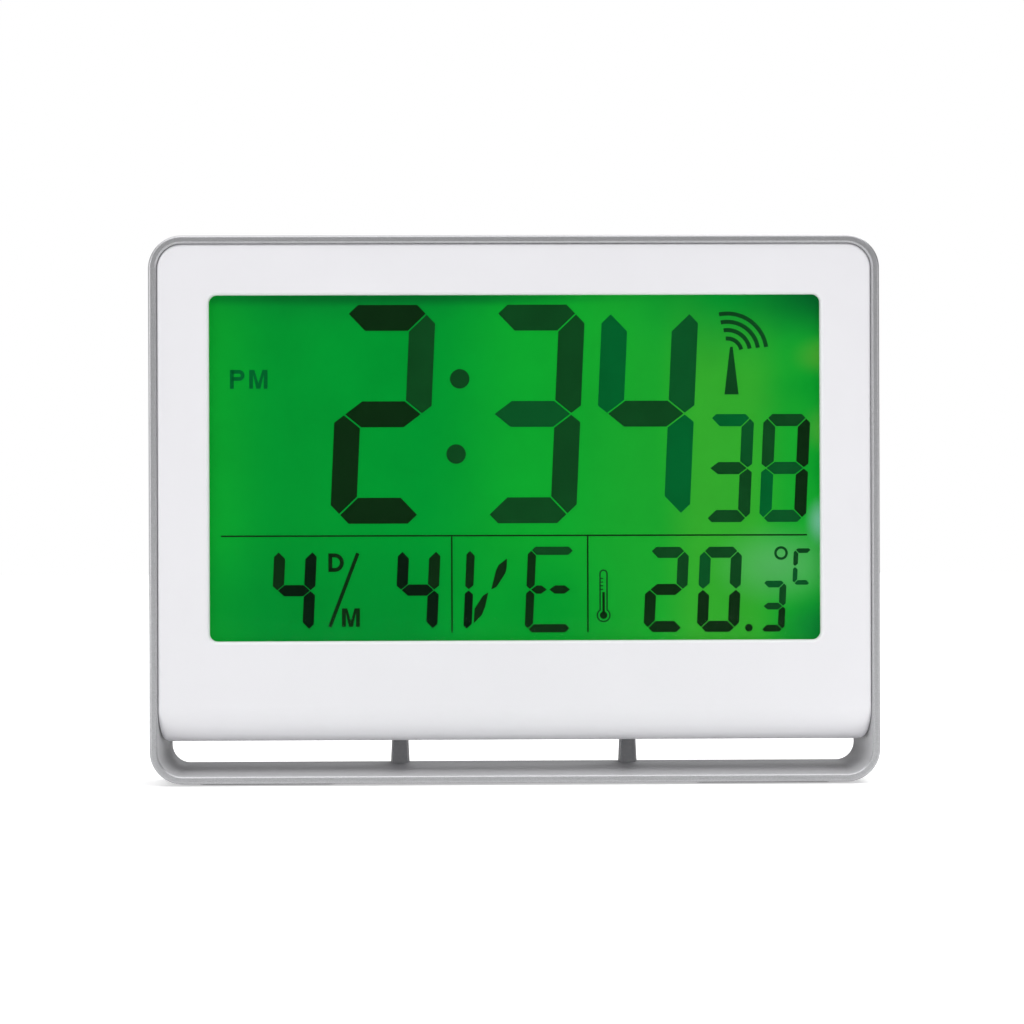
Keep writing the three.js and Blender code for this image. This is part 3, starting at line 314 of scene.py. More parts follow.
# Polished clear acrylic: see-through, with the faintest haze of handling, and a thin reflection
# that its anti-reflection coat weakens by the given share
lensAcrylic = {"tint": "#FCFEFD", "ior": 1.49, "haze": 0.001, "hazeSize": 9.0, "coatShare": 0.85}


def clearAcrylic():
    look, tint = lensAcrylic, linear(lensAcrylic["tint"])
    material, tree, shader, spot = newMaterial("polished_clear_acrylic", {
        "Base Color": tint, "IOR": look["ior"], "Transmission Weight": 1.0,
    })
    haze = addNode(tree, "ShaderNodeTexNoise", {"Scale": grainOf(look["hazeSize"]), "Detail": 3.0},
                   {"Vector": spot})
    glossed(tree, shader, haze, look["haze"], look["haze"])
    # lamps and the room's light shine through it to the display
    clear = addNode(tree, "ShaderNodeBsdfTransparent", {"Color": tint})
    passing = addNode(tree, "ShaderNodeMath", {"operation": "MAXIMUM", 1: look["coatShare"]},
                      {0: pathsOf(tree, "Is Shadow Ray", "Is Diffuse Ray")})
    mixed = addNode(tree, "ShaderNodeMixShader", links={0: passing, 1: shader, 2: clear})
    output = next(node for node in tree.nodes if node.type == "OUTPUT_MATERIAL")
    tree.links.new(mixed.outputs[0], output.inputs["Surface"])
    return material


# Liquid-crystal glass lit green from behind: the light spreads unevenly from the lamps at the sides,
# so the green is deepest left of the middle and turns yellowish and mottled at the right. Painted
# shade along the top and whitish spots of painted reflection at the right edge are in the colour too.
# Part of the brightness is the studio's, so the window's edge also shades it for real.
displayLight = {
    "ownShare": 0.58, "roomShare": 0.42, "cloud": 26, "unevenness": 0.12,
    # distance from the middle, towards the right, and the green there
    "across": [
        (-92, "#0AA02E"), (-70, "#02942F"), (-30, "#00932F"), (6, "#0CA42D"), (42, "#1AA42D"),
        (56, "#34A82D"), (70, "#33A82D"), (84, "#18A42D"), (92, "#12A22E"),
    ],
    # soft patches: middle and reach to the side and upwards, colour, strength
    "patches": [
        ((66, 150), (46, 29), "#00932F", 1.0),
        # darker along the top and most in the upper right corner: painted shade of the window's upper edge
        ((94, 148), (34, 18), "#03642A", 1.0),
        ((-50, 150), (70, 16), "#088032", 0.55),
        ((95, 129), (13, 8), "#51AA33", 0.85),
        ((95, 120), (22, 8), "#079A2B", 0.9),
        ((95, 107), (11, 9), "#4CAA38", 0.8),
        ((92, 95), (7, 9), "#0A9A2B", 0.9),
        # whitish spots low on the right edge: a painted reflection of the studio in the window
        ((93, 79), (6, 9), "#7CC0A4", 0.9),
        ((80, 66), (24, 15), "#5BB265", 0.75),
        ((94, 47), (20, 14), "#067A30", 0.95),
        ((-62, 54), (66, 30), "#00872D", 0.85),
        ((8, 54), (34, 26), "#00932C", 0.8),
        # painted shadow of the window's upper edge on a narrow strip along the top
        ((-42, 146.8), (100, 3.2), "#046A28", 0.95),
    ],
}
lightShares = (("roomShare", "Base Color"), ("ownShare", "Emission Color"))


def litDisplay():
    look = displayLight
    material, tree, shader, spot = newMaterial("lit_liquid_crystal_glass", {
        "Roughness": 0.3, "IOR": 1.5, "Specular IOR Level": 0.03, "Emission Strength": 1.0,
    })
    axes = addNode(tree, "ShaderNodeSeparateXYZ", links={0: spot})
    stops = look["across"]
    first, last = stops[0][0], stops[-1][0]
    along = addNode(tree, "ShaderNodeMapRange", {"From Min": first * mm, "From Max": last * mm},
                    {"Value": axes.outputs[0]})
    ramp = addNode(tree, "ShaderNodeValToRGB", links={0: along})
    ramp.color_ramp.interpolation = "EASE"
    fillRamp(ramp.color_ramp, [((across - first) / (last - first), green) for across, green in stops])
    field = ramp.outputs[0]
    for middle, reach, colour, strength in look["patches"]:
        centred = addNode(tree, "ShaderNodeVectorMath", {
            "operation": "SUBTRACT", 1: (middle[0] * mm, 0, middle[1] * mm),
        }, {0: spot})
        scaled = addNode(tree, "ShaderNodeVectorMath", {
            "operation": "MULTIPLY", 1: (grainOf(reach[0]), 0, grainOf(reach[1])),
        }, {0: centred})
        distance = addNode(tree, "ShaderNodeVectorMath", {"operation": "LENGTH"}, {0: scaled})
        cover = addNode(tree, "ShaderNodeMapRange", {
            "interpolation_type": "SMOOTHSTEP", "From Min": 1.0, "From Max": 0.0,
            "To Min": 0.0, "To Max": strength,
        }, {"Value": distance.outputs["Value"]})
        field = addNode(tree, "ShaderNodeMix", {"data_type": "RGBA", 7: linear(colour)},
                        {0: cover, 6: field}).outputs[2]
    # cell thickness varies a little over some centimetres
    clouds = addNode(tree, "ShaderNodeTexNoise", {"Scale": grainOf(look["cloud"]), "Detail": 2.0},
                     {"Vector": spot})
    shade = addNode(tree, "ShaderNodeMapRange", {
        "To Min": 1 - look["unevenness"], "To Max": 1 + look["unevenness"],
    }, {"Value": clouds})
    field = addNode(tree, "ShaderNodeVectorMath", {"operation": "SCALE"}, {0: field, "Scale": shade})
    for share, socket in lightShares:
        part = addNode(tree, "ShaderNodeVectorMath", {"operation": "SCALE", "Scale": look[share]},
                       {0: field})
        tree.links.new(part.outputs[0], shader.inputs[socket])
    return material


# Dark liquid-crystal figures: the polarised glass stops most of the green behind them, a little
# more here and a little less there
figureTones = {
    "black": "#061A0C", "dark": "#0C2910", "deep": "#0E431D", "middle": "#0A5024", "light": "#025E2A",
}
crystalClouds = {"size": 14, "least": 0.85, "most": 1.2}


def darkenedCrystal(tone):
    material, tree, shader, spot = newMaterial("darkened_crystal_" + tone, {
        "Roughness": 0.3, "Specular IOR Level": 0.03, "Emission Strength": 1.0,
    })
    clouds = addNode(tree, "ShaderNodeTexNoise", {"Scale": grainOf(crystalClouds["size"]), "Detail": 1.0},
                     {"Vector": spot})
    for share, socket in lightShares:
        least, most = (linear(figureTones[tone], displayLight[share] * crystalClouds[end])
                       for end in ("least", "most"))
        colour = addNode(tree, "ShaderNodeMix", {"data_type": "RGBA", 6: least, 7: most}, {0: clouds})
        tree.links.new(colour.outputs[2], shader.inputs[socket])
    return material


# Fibreglass board under green solder mask: copper runs show as paler bands below the lacquer
boardLook = {"mask": "#0F4A22", "overCopper": "#1F6B34", "pitch": 1.9, "runLength": 11.4, "runWidth": 0.45}


def solderMaskBoard():
    look, mask = boardLook, linear(boardLook["mask"])
    material, tree, shader, spot = newMaterial("solder_mask_board", {"Roughness": 0.3, "Coat Weight": 0.3})
    # the pattern lies level, so it is stood up on the board
    upright = addNode(tree, "ShaderNodeMapping", {"Rotation": (math.radians(90), 0, 0)}, {"Vector": spot})
    runs = addNode(tree, "ShaderNodeTexBrick", {
        "Scale": 1.0, "Brick Width": look["runLength"] * mm, "Row Height": look["pitch"] * mm,
        "Mortar Size": look["runWidth"] * mm, "Color1": mask, "Color2": mask,
        "Mortar": linear(look["overCopper"]),
    }, {"Vector": upright})
    tree.links.new(runs.outputs[0], shader.inputs["Base Color"])
    return material


# Round ribs side by side along X; one wave of the texture is 2 pi / 20 long at a scale of one
def ribbed(tree, shader, spot, look):
    ribs = addNode(tree, "ShaderNodeTexWave", {
        "bands_direction": "X", "Scale": math.pi / 10 * grainOf(look["pitch"]),
    }, {"Vector": spot}).outputs["Fac"]
    # the grooves between the ribs take the darker colour: painted shade
    toned(tree, shader, ribs, look["shadedGroove"], look["crest"])
    relief(tree, shader, ribs, look["grooveDepth"])


# Enamelled copper wire wound turn by turn: bands of one wire's width, the seams between them darkened as
# painted shade
copperLook = {"crest": "#B4632C", "shadedGroove": "#5E2A10", "pitch": 0.5, "grooveDepth": 0.1}


def enamelledCopper():
    material, tree, shader, spot = newMaterial("enamelled_copper_wire", {
        "Metallic": 1.0, "Roughness": 0.32, "Coat Weight": 0.6, "Coat Roughness": 0.1,
    })
    ribbed(tree, shader, spot, copperLook)
    return material


# Grey PVC flat cable: its cores show as ribs 1.27 mm apart, the grooves between them darkened as painted
# shade
ribbonLook = {"crest": "#B9BCBE", "shadedGroove": "#7C7F82", "pitch": 1.27, "grooveDepth": 0.15}


def flatCablePvc():
    material, tree, shader, spot = newMaterial("flat_cable_pvc", {"Roughness": 0.42})
    ribbed(tree, shader, spot, ribbonLook)
    return material


# Cell in a shrunk, printed metallic film: a dark blue length and a silver one, bare ends of steel
cellLook = {
    "blue": "#1B4E9B", "silver": "#C4C6C9", "steel": "#B9B9B6", "bandShare": 0.3, "baseShare": 0.015,
    "nubShare": 0.04, "metal": 0.85, "roughness": 0.26, "glossReach": 0.08, "creases": 7,
}


# The film's stops are counted from the flat end to the nub
def printedCellFilm(name, flatEnd, nub):
    look = cellLook
    material, tree, shader, spot = newMaterial(name, {"Metallic": look["metal"]})
    axes = addNode(tree, "ShaderNodeSeparateXYZ", links={0: spot})
    along = addNode(tree, "ShaderNodeMapRange", {"From Min": flatEnd, "From Max": nub},
                    {"Value": axes.outputs[0]})
    ramp = addNode(tree, "ShaderNodeValToRGB", links={0: along})
    ramp.color_ramp.interpolation = "CONSTANT"
    fillRamp(ramp.color_ramp, [
        (0.0, look["steel"]), (look["baseShare"], look["blue"]), (1 - look["bandShare"], look["silver"]),
        (1 - look["nubShare"], look["steel"]),
    ])
    tree.links.new(ramp.outputs[0], shader.inputs["Base Color"])
    film = addNode(tree, "ShaderNodeTexNoise", {"Scale": grainOf(look["creases"]), "Detail": 3.0},
                   {"Vector": spot})
    glossed(tree, shader, film, look["roughness"], look["glossReach"])
    return material


# Milky acrylic that spreads the lamps' light: the lamps' pale green light is painted into its colour
guideLook = {"clear": "#A8D98A", "milky": "#C9EFB4", "dot": 1.4}


def milkyAcrylic():
    material, tree, shader, spot = newMaterial("milky_acrylic_guide", {"Roughness": 0.25, "IOR": 1.49})
    dots = addNode(tree, "ShaderNodeTexVoronoi", {"Scale": grainOf(guideLook["dot"])}, {"Vector": spot})
    toned(tree, shader, dots.outputs["Distance"], guideLook["milky"], guideLook["clear"])
    return material


finishes = {
    "silver_paint": satinSilverPaint(),
    "white_plastic": grainySurface("moulded_white_abs"),
    "rear_plastic": grainySurface("eroded_white_abs"),
    "grey_keys": grainySurface("moulded_grey_abs"),
    "black_plastic": grainySurface("moulded_black_resin"),
    "clear_lens": clearAcrylic(),
    "display_green": litDisplay(),
    "guide_acrylic": milkyAcrylic(),
    "rubber": grainySurface("moulded_black_rubber"),
    "circuit_board": solderMaskBoard(),
    "steel": grainySurface("nickel_plated_steel"),
    "copper_wire": enamelledCopper(),
    "ferrite": grainySurface("sintered_ferrite"),
    "led_resin": grainySurface("lamp_resin"),
    "ribbon": flatCablePvc(),
}
figureInks = {tone: darkenedCrystal(tone) for tone in figureTones}
print("materials made")


# Mesh helpers, all in millimetres

# Lowest and highest corner of a CAD piece
def cornersOf(node):
    low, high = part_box(node)
    return low / mm, high / mm


# Where the axis of a screw or a key stands: sideways and upwards
def axisOf(node):
    low, high = cornersOf(node)
    return (low.x + high.x) / 2, (low.z + high.z) / 2


# The slot that a CAD piece is made in
def slotOf(source):
    return source.data.materials[0].name.split(".")[0]


# A rounded rectangle seen from the front, anticlockwise from its upper right corner
def roundedOutline(left, right, bottom, top, lowerRadius, upperRadius, steps):
    corners = [
        (right - upperRadius, top - upperRadius, upperRadius),
        (left + upperRadius, top - upperRadius, upperRadius),
        (left + lowerRadius, bottom + lowerRadius, lowerRadius),
        (right - lowerRadius, bottom + lowerRadius, lowerRadius),
    ]
    points = []
    for quarter, (x, z, radius) in enumerate(corners):
        for step in range(steps + 1):
            angle = (quarter + step / steps) * math.pi / 2
            points.append((x + radius * math.cos(angle), z + radius * math.sin(angle)))
    return points


def arcOf(middle, radius, start, end, steps):
    x, z = middle
    angles = [math.radians(start + (end - start) * step / steps) for step in range(steps + 1)]
    return [(x + radius * math.cos(angle), z + radius * math.sin(angle)) for angle in angles]


def discOf(middle, radius, steps=32):
    return arcOf(middle, radius, 0, 360 - 360 / steps, steps - 1)


# Pairs of depth from a face and inset from a side, along a quarter round
def quarterRound(radius, steps):
    angles = [step / steps * math.pi / 2 for step in range(steps + 1)]
    return [(radius * (1 - math.cos(angle)), radius * (1 - math.sin(angle))) for angle in angles]


# Faces through rings of equally many points; a closed loft runs on from the last to the first
def loft(rings, closed=False):
    count = len(rings[0])
    points = [point for ring in rings for point in ring]
    faces = []
    for row in range(len(rings) if closed else len(rings) - 1):
        start, after = row * count, (row + 1) % len(rings) * count
        for corner in range(count):
            following = (corner + 1) % count
            faces.append((start + corner, start + following, after + following, after + corner))
    if not closed:
        faces.append(tuple(range(count)))
        faces.append(tuple(range(len(points) - count, len(points))))
    return points, faces


# A straight prism of this outline between two depths
def prism(outline, near, far):
    return loft([[(x, y, z) for x, z in outline] for y in (near, far)])


# A solid of revolution about a line along Y; the profile is pairs of radius and depth
def turnedShape(middle, profile, steps):
    return loft([[(x, y, z) for x, z in discOf(middle, radius, steps)] for radius, y in profile])


# Smoothing stops at edges as sharp as "sharpFrom", and a round is laid on those over "roundFrom".
# Edges shorter than "merged" would fold in a round.
meshLook = {"sharpFrom": 32, "roundFrom": 30, "roundSteps": 2, "merged": 0.03, "flatWithin": 1}


# A mesh with its faces turned outwards, shaded smooth except over sharp edges. To be simplified, its
# near corners and its flat neighbours are joined first.
def newMesh(name, points, faces, material, simplified=False):
    mesh = bpy.data.meshes.new(name)
    mesh.from_pydata(points, [], faces)
    work = bmesh.new()
    work.from_mesh(mesh)
    if simplified:
        flat = math.radians(meshLook["flatWithin"])
        bmesh.ops.remove_doubles(work, verts=work.verts, dist=meshLook["merged"] * mm)
        bmesh.ops.dissolve_limit(work, angle_limit=flat, verts=work.verts, edges=work.edges)
        bmesh.ops.triangulate(work, faces=work.faces)
    bmesh.ops.recalc_face_normals(work, faces=work.faces)
    work.to_mesh(mesh)
    work.free()
    mesh.shade_smooth()
    mesh.set_sharp_from_angle(angle=math.radians(meshLook["sharpFrom"]))
    mesh.materials.append(material)
    return mesh


# One mesh from several closed shapes
def meshOf(name, shapes, material):
    points, faces = [], []
    for shapePoints, shapeFaces in shapes:
        faces.extend(tuple(len(points) + corner for corner in face) for face in shapeFaces)
        points.extend(shapePoints)
    return newMesh(name, [Vector(point) * mm for point in points], faces, material)


# Puts a piece into the scene, on the body that carries it
def place(name, mesh, body="clock", nodes=()):
    piece = addThing(name, mesh)
    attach(piece, body)
    if nodes:
        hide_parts(*nodes)
    return piece


# Large flat faces lead the shading, so that they look flat up to their rounds
def evenShading(piece):
    even = piece.modifiers.new("even_shading", "WEIGHTED_NORMAL")
    even.keep_sharp = True


# Breaks a piece's edges by a small round, as a mould or a cutter leaves them
def breakEdges(piece, width):
    edge = piece.modifiers.new("broken_edges", "BEVEL")
    edge.width = width * mm
    edge.segments = meshLook["roundSteps"]
    edge.limit_method = "ANGLE"
    edge.angle_limit = math.radians(meshLook["roundFrom"])
    edge.use_clamp_overlap = False
    evenShading(piece)


# A CAD piece taken over with its edges broken
def finishedCopy(node, width, material=None):
    source = frame["nodes"][node]
    slot = slotOf(source)
    mesh = newMesh(node + "_finished", [corner.co.copy() for corner in source.data.vertices],
                   [tuple(face.vertices) for face in source.data.polygons],
                   material or finishes[slot], simplified=True)
    piece = place(node + "_finished", mesh, source["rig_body"], [node])
    if width:
        breakEdges(piece, width)


# Frame: a drafted band with a chamfered rim, two posts on its base rail and four screw lugs
frameLow, frameHigh = cornersOf("frame")
frameLook = {
    "cornerRadius": 10.0, "cornerSteps": 24, "rimFace": 1.95, "rimChamfer": 0.43, "draft": 2.1,
    "frontRound": 0.75, "frontSteps": 6, "rearRound": 0.5, "rearSteps": 4, "edgeBreak": 0.08,
    "support": 0.05, "facesBack": 0.7,
    "postX": 35.175, "postFoot": 6.0, "postTop": 5.1, "postNarrowing": 1.2, "postDepth": 3.9,
    "postHeight": 12.0, "lugWidth": 7.6, "lugThickness": 2.4,
    "lowerLug": (12.3, 24.3), "upperLug": (149.45, 163.0),
    "screwHole": 1.55, "headHole": 2.8, "headDepth": 1.5, "holeSteps": 24,
}


# An outline set at a depth behind the frame's front
def setBack(outline, depth):
    return [(x, frameLow.y + depth, z) for x, z in outline]


def frameRing(depth, inset):
    radius = frameLook["cornerRadius"] - inset
    return setBack(roundedOutline(frameLow.x + inset, frameHigh.x - inset, frameLow.z + inset,
                                  frameHigh.z - inset, radius, radius, frameLook["cornerSteps"]), depth)


def frameBand():
    look, depth = frameLook, frameHigh.y - frameLow.y
    rim = look["rimFace"] + look["rimChamfer"]
    # a ring close beside each round keeps the flats beside it flat in the shading
    support = look["support"]
    front = quarterRound(look["frontRound"], look["frontSteps"])
    rear = quarterRound(look["rearRound"], look["rearSteps"])
    section = [(0, front[0][1] + support), *front, (front[-1][0] + support, 0)]
    section += [(depth - rear[-1][0] - support, 0)]
    section += [(depth - away, inset) for away, inset in reversed(rear)]
    section += [(depth, rear[0][1] + support), (depth, rim + look["draft"]),
                (look["rimChamfer"], rim), (0, look["rimFace"])]
    return loft([frameRing(*pair) for pair in section], closed=True)


# A post is a wedge: narrower at its front and at its top, with its foot sunk into the rail
def framePost(x):
    look = frameLook
    back, front = frameHigh.y - look["rearRound"], frameHigh.y - look["postDepth"]
    foot = frameLow.z + look["rimFace"] + look["rimChamfer"]
    rings = []
    for z, width in ((foot, look["postFoot"]), (frameLow.z + look["postHeight"], look["postTop"])):
        narrow = width - look["postNarrowing"]
        rings.append([(x - narrow / 2, front, z), (x + narrow / 2, front, z), (x + width / 2, back, z),
                      (x - width / 2, back, z)])
    return loft(rings)


# A lug is a plate with a screw hole, widened at the back for the screw's head
def frameLug(screw, height):
    look, steps = frameLook, frameLook["holeSteps"]
    front, back = frameHigh.y - look["lugThickness"], frameHigh.y - look["rearRound"]
    seat = frameHigh.y - look["headDepth"]
    bottom, top = height
    x, z = axisOf(screw)
    left, right = x - look["lugWidth"] / 2, x + look["lugWidth"] / 2
    corners = [math.atan2(upper - z, side - x) for side in (left, right) for upper in (bottom, top)]
    angles = sorted(corners + [math.radians((step + 0.5) * 360 / steps - 180) for step in range(steps)])
    edge, nearlyNone = [], 1e-6
    for angle in angles:
        rise = top - z if math.sin(angle) > 0 else z - bottom
        reach = min((right - x) / max(abs(math.cos(angle)), nearlyNone),
                    rise / max(abs(math.sin(angle)), nearlyNone))
        edge.append((x + reach * math.cos(angle), z + reach * math.sin(angle)))

    def circle(radius, y):
        return [(x + radius * math.cos(angle), y, z + radius * math.sin(angle)) for angle in angles]

    return loft([
        [(a, front, b) for a, b in edge], [(a, back, b) for a, b in edge],
        circle(look["headHole"], back), circle(look["headHole"], seat),
        circle(look["screwHole"], seat), circle(look["screwHole"], front),
    ], closed=True)


def makeFrame():
    posts = [framePost(hand * frameLook["postX"]) for hand in (-1, 1)]
    lugs = [frameLug("frame_screw_" + number, frameLook["lowerLug"]) for number in "12"]
    lugs += [frameLug("frame_screw_" + number, frameLook["upperLug"]) for number in "34"]
    band = frameBand()
    mesh = meshOf("frame_moulding", [band, *posts, *lugs], finishes["silver_paint"])
    mesh.materials.append(oversprayedAbsWithShade())
    # the band's inner face is its last row of faces but two; what faces backwards is fully painted
    bandFaces, row = len(band[1]), 4 * (frameLook["cornerSteps"] + 1)
    innerFace = range(bandFaces - 3 * row, bandFaces - 2 * row)
    for face in mesh.polygons:
        inside = face.index in innerFace or face.index >= bandFaces
        face.material_index = int(inside and face.normal.y < frameLook["facesBack"])
    breakEdges(place("frame_moulding", mesh, nodes=["frame"]), frameLook["edgeBreak"])


makeFrame()
print("frame made")


# Front shell: one thin wall round the case, over the face and in at the window
shellLow, shellHigh = cornersOf("front_shell")
windowLow, windowHigh = cornersOf("window_lens")
shellLook = {
    "wall": 2.0, "setback": 0.6, "edgeRadius": 1.1, "edgeSteps": 8, "chinRadius": 11.1, "chinSteps": 24,
    "upperRadius": 7.45, "lowerRadius": 2.4, "leastRadius": 1.0, "snug": 0.12, "cornerSteps": 20,
    "lensMargin": {"left": 2.1, "right": 1.9, "bottom": 1.85, "top": 1.75},
    "windowRadius": 2.4, "windowRound": 1.2, "windowSteps": 8,
    "bossRadius": 2.7, "pilotRadius": 1.4, "holeSteps": 24, "rooted": 0.3, "beyondTip": 0.1,
    "belowHolderHead": 3.3,
}


def draftAt(depth):
    return frameLook["draft"] * depth / (frameHigh.y - frameLow.y)


# How far a quarter round stands back from its side at a depth
def insetAlong(radius, depth):
    if depth >= radius:
        return 0.0
    return radius - math.sqrt(radius * radius - (radius - depth) ** 2)


def caseRing(depth, inset=0.0, raised=0.0):
    look = shellLook
    drawn = inset + draftAt(depth) - look["snug"]
    widened = draftAt(look["setback"] + look["edgeRadius"])
    half, top = shellHigh.x + widened, shellHigh.z + widened
    lower = max(look["lowerRadius"] - inset, look["leastRadius"])
    upper = max(look["upperRadius"] - drawn, look["leastRadius"])
    return setBack(roundedOutline(drawn - half, half - drawn, shellLow.z + inset + raised, top - drawn,
                                  lower, upper, look["cornerSteps"]), depth)


def windowRing(depth, widened):
    margin = {side: covered - widened for side, covered in shellLook["lensMargin"].items()}
    radius = shellLook["windowRadius"] + widened
    return setBack(roundedOutline(windowLow.x + margin["left"], windowHigh.x - margin["right"],
                                  windowLow.z + margin["bottom"], windowHigh.z - margin["top"],
                                  radius, radius, shellLook["cornerSteps"]), depth)


# A boss stands on the inside of the face and takes a screw in its blind hole
def shellBoss(screw, end):
    look = shellLook
    tip = cornersOf(screw)[0].y - look["beyondTip"]
    root = shellLow.y + look["wall"] - look["rooted"]
    boss, pilot = look["bossRadius"], look["pilotRadius"]
    return turnedShape(axisOf(screw), [(boss, root), (boss, end), (pilot, end), (pilot, tip)],
                       look["holeSteps"])


def makeFrontShell():
    look = shellLook
    setback, wall, edge, chin = look["setback"], look["wall"], look["edgeRadius"], look["chinRadius"]
    inside, back = setback + wall, shellHigh.y - frameLow.y
    rounds = quarterRound(edge, look["edgeSteps"]) + quarterRound(chin, look["chinSteps"])
    outer = []
    for step in sorted({round(depth, 3) for depth, inset in rounds}):
        narrowed = insetAlong(edge, step)
        outer.append(caseRing(setback + step, narrowed, insetAlong(chin, step) - narrowed))
    rings = [windowRing(inside, 0.0)]
    rings += [windowRing(setback + away, widened)
              for away, widened in reversed(quarterRound(look["windowRound"], look["windowSteps"]))]
    rings += [*outer, caseRing(back), caseRing(back, wall), caseRing(setback + chin, wall)]
    rings.append(caseRing(inside, wall, insetAlong(chin - wall, 0.0)))
    bosses = [shellBoss("case_screw_" + number, shellHigh.y) for number in "1234"]
    for screw in ("holder_screw_" + number for number in "1234"):
        bosses.append(shellBoss(screw, cornersOf(screw)[1].y - look["belowHolderHead"]))
    mesh = meshOf("front_shell_moulding", [loft(rings, closed=True), *bosses], finishes["white_plastic"])
    evenShading(place("front_shell_moulding", mesh, nodes=["front_shell"]))


makeFrontShell()
print("front shell made")


# Display figures: thin plates on the front of the liquid-crystal glass. The digits and the weekday's
# letters lean to the right. The gap between two bars is measured across it: slip, drop and spare are
# its shares along the bars. A soft corner takes up no more than the given share of an edge, and a
# mitre is no longer than the stroke's half width over the given cosine.
glassFront = cornersOf("lcd_glass")[0].y
figureLook = {
    "lean": 2.65, "thickness": 0.06, "slip": 0.707, "drop": 0.63, "spare": 0.81,
    "mostOfEdge": 0.4, "leastCosine": 0.5,
}
digitSizes = {
    "hours": {"width": 29.15, "height": 66.0, "bar": 7.82, "cut": 5.65, "gap": 0.43, "soft": 0.12},
    "seconds": {"width": 14.17, "height": 32.65, "bar": 3.67, "cut": 2.63, "gap": 0.32, "soft": 0.12},
    "dates": {"width": 12.85, "height": 26.15, "bar": 3.4, "cut": 2.85, "gap": 0.2, "soft": 0.15},
    "rows": {"width": 12.75, "height": 25.75, "bar": 3.35, "cut": 2.77, "gap": 0.26, "soft": 0.18},
    "tenths": {"width": 7.6, "height": 15.4, "bar": 2.05, "cut": 1.55, "gap": 0.22, "soft": 0.15},
    "letters": {"width": 13.2, "height": 25.9, "bar": 2.5, "cut": 2.2, "gap": 0.24, "soft": 0.2},
    "unit": {"width": 5.7, "height": 11.0, "bar": 1.4, "cut": 1.15, "gap": 0.24, "soft": 0.15},
}
# size, lower left corner, tone, lit segments, and those of them that have another tone
litDigits = [
    ("hours", (-55.8, 78.75), "dark", "abged", {"b": "deep"}),
    ("hours", (-10.7, 78.75), "deep", "abgcd", {"g": "middle"}),
    ("hours", (23.6, 78.75), "light", "fgbc", {"g": "deep", "b": "middle"}),
    ("seconds", (56.84, 78.9), "deep", "abgcd", {"a": "light", "b": "middle"}),
    ("seconds", (73.87, 78.9), "deep", "abcdefg",
     {"b": "dark", "c": "dark", "g": "middle", "e": "light", "d": "middle"}),
    ("dates", (-73.72, 45.55), "black", "fgbc", {"f": "dark"}),
    ("dates", (-36.42, 45.6), "black", "fgbc", {"b": "dark"}),
    ("rows", (38.75, 45.72), "dark", "abged", {"a": "deep", "b": "deep"}),
    ("rows", (54.85, 45.72), "dark", "abcdef", {"f": "middle", "a": "deep", "b": "deep"}),
    ("tenths", (73.85, 45.75), "dark", "abgcd", {"a": "middle", "b": "deep", "g": "deep"}),
    ("unit", (83.9, 59.9), "deep", "aefd", {"d": "middle", "e": "middle"}),
]
figures = {tone: [] for tone in figureTones}


# The seven bars of a digit, each pointed where it meets the next
def digitBars(size):
    width, height, bar = size["width"], size["height"], size["bar"]
    cut, gap = size["cut"], size["gap"]
    slip, drop, spare = (figureLook[share] * gap for share in ("slip", "drop", "spare"))
    knee = (bar / 2) * (cut / 2) / (bar - cut / 2)
    middle = height / 2
    top = [
        (cut, height), (width - cut, height), (width - (cut + slip) / 2, height - (cut - slip) / 2),
        (width - bar - slip, height - bar), (bar + slip, height - bar),
        ((cut + slip) / 2, height - (cut - slip) / 2),
    ]
    side = [
        (0, height - cut), ((cut - slip) / 2, height - (cut + slip) / 2), (bar, height - bar - slip),
        (bar, middle + bar / 2 + drop), (cut / 2, middle + drop), (0, middle + knee + drop),
    ]
    across = [
        (cut / 2 + spare, middle), (bar + spare, middle + bar / 2),
        (width - bar - spare, middle + bar / 2), (width - cut / 2 - spare, middle),
        (width - bar - spare, middle - bar / 2), (bar + spare, middle - bar / 2),
    ]
    return {
        "a": top, "d": [(x, height - z) for x, z in top], "g": across,
        "f": side, "e": [(x, height - z) for x, z in side],
        "b": [(width - x, z) for x, z in side], "c": [(width - x, height - z) for x, z in side],
    }


# Rounds each corner of an outline a little
def softCorners(points, reach):
    soft = []
    for index, point in enumerate(points):
        here = Vector(point)
        ends = []
        for other in (points[index - 1], points[(index + 1) % len(points)]):
            away = Vector(other) - here
            run = min(reach, away.length * figureLook["mostOfEdge"])
            ends.append(here + away.normalized() * run)
        soft += [ends[0], ends[0] * 0.25 + here * 0.5 + ends[1] * 0.25, ends[1]]
    return [(point.x, point.y) for point in soft]


# Quads along a line of the given width, mitred at its corners
def strokeOf(points, width, closed=False):
    line = [Vector(point) for point in points]
    sides = []
    for index, here in enumerate(line):
        runs = []
        if index or closed:
            runs.append((here - line[index - 1]).normalized())
        if index < len(line) - 1 or closed:
            runs.append((line[(index + 1) % len(line)] - here).normalized())
        along = sum(runs, Vector((0, 0))).normalized()
        across = Vector((-along.y, along.x))
        bend = across.dot(Vector((-runs[0].y, runs[0].x)))
        reach = width / 2 / max(bend, figureLook["leastCosine"])
        sides.append((here + across * reach, here - across * reach))
    ends = sides[1:] + sides[:1] if closed else sides[1:]
    return [[tuple(a), tuple(b), tuple(d), tuple(c)] for (a, b), (c, d) in zip(sides, ends)]


# A thin plate with this outline, on the glass
def plateOf(outline):
    return prism(outline, glassFront, glassFront - figureLook["thickness"])


# Leans an outline with soft corners, moves it to its lower left corner and makes its plate
def addFigure(tone, outline, soft, corner):
    slope = math.tan(math.radians(figureLook["lean"]))
    leaned = [(corner[0] + x + z * slope, corner[1] + z) for x, z in softCorners(outline, soft)]
    figures[tone].append(plateOf(leaned))


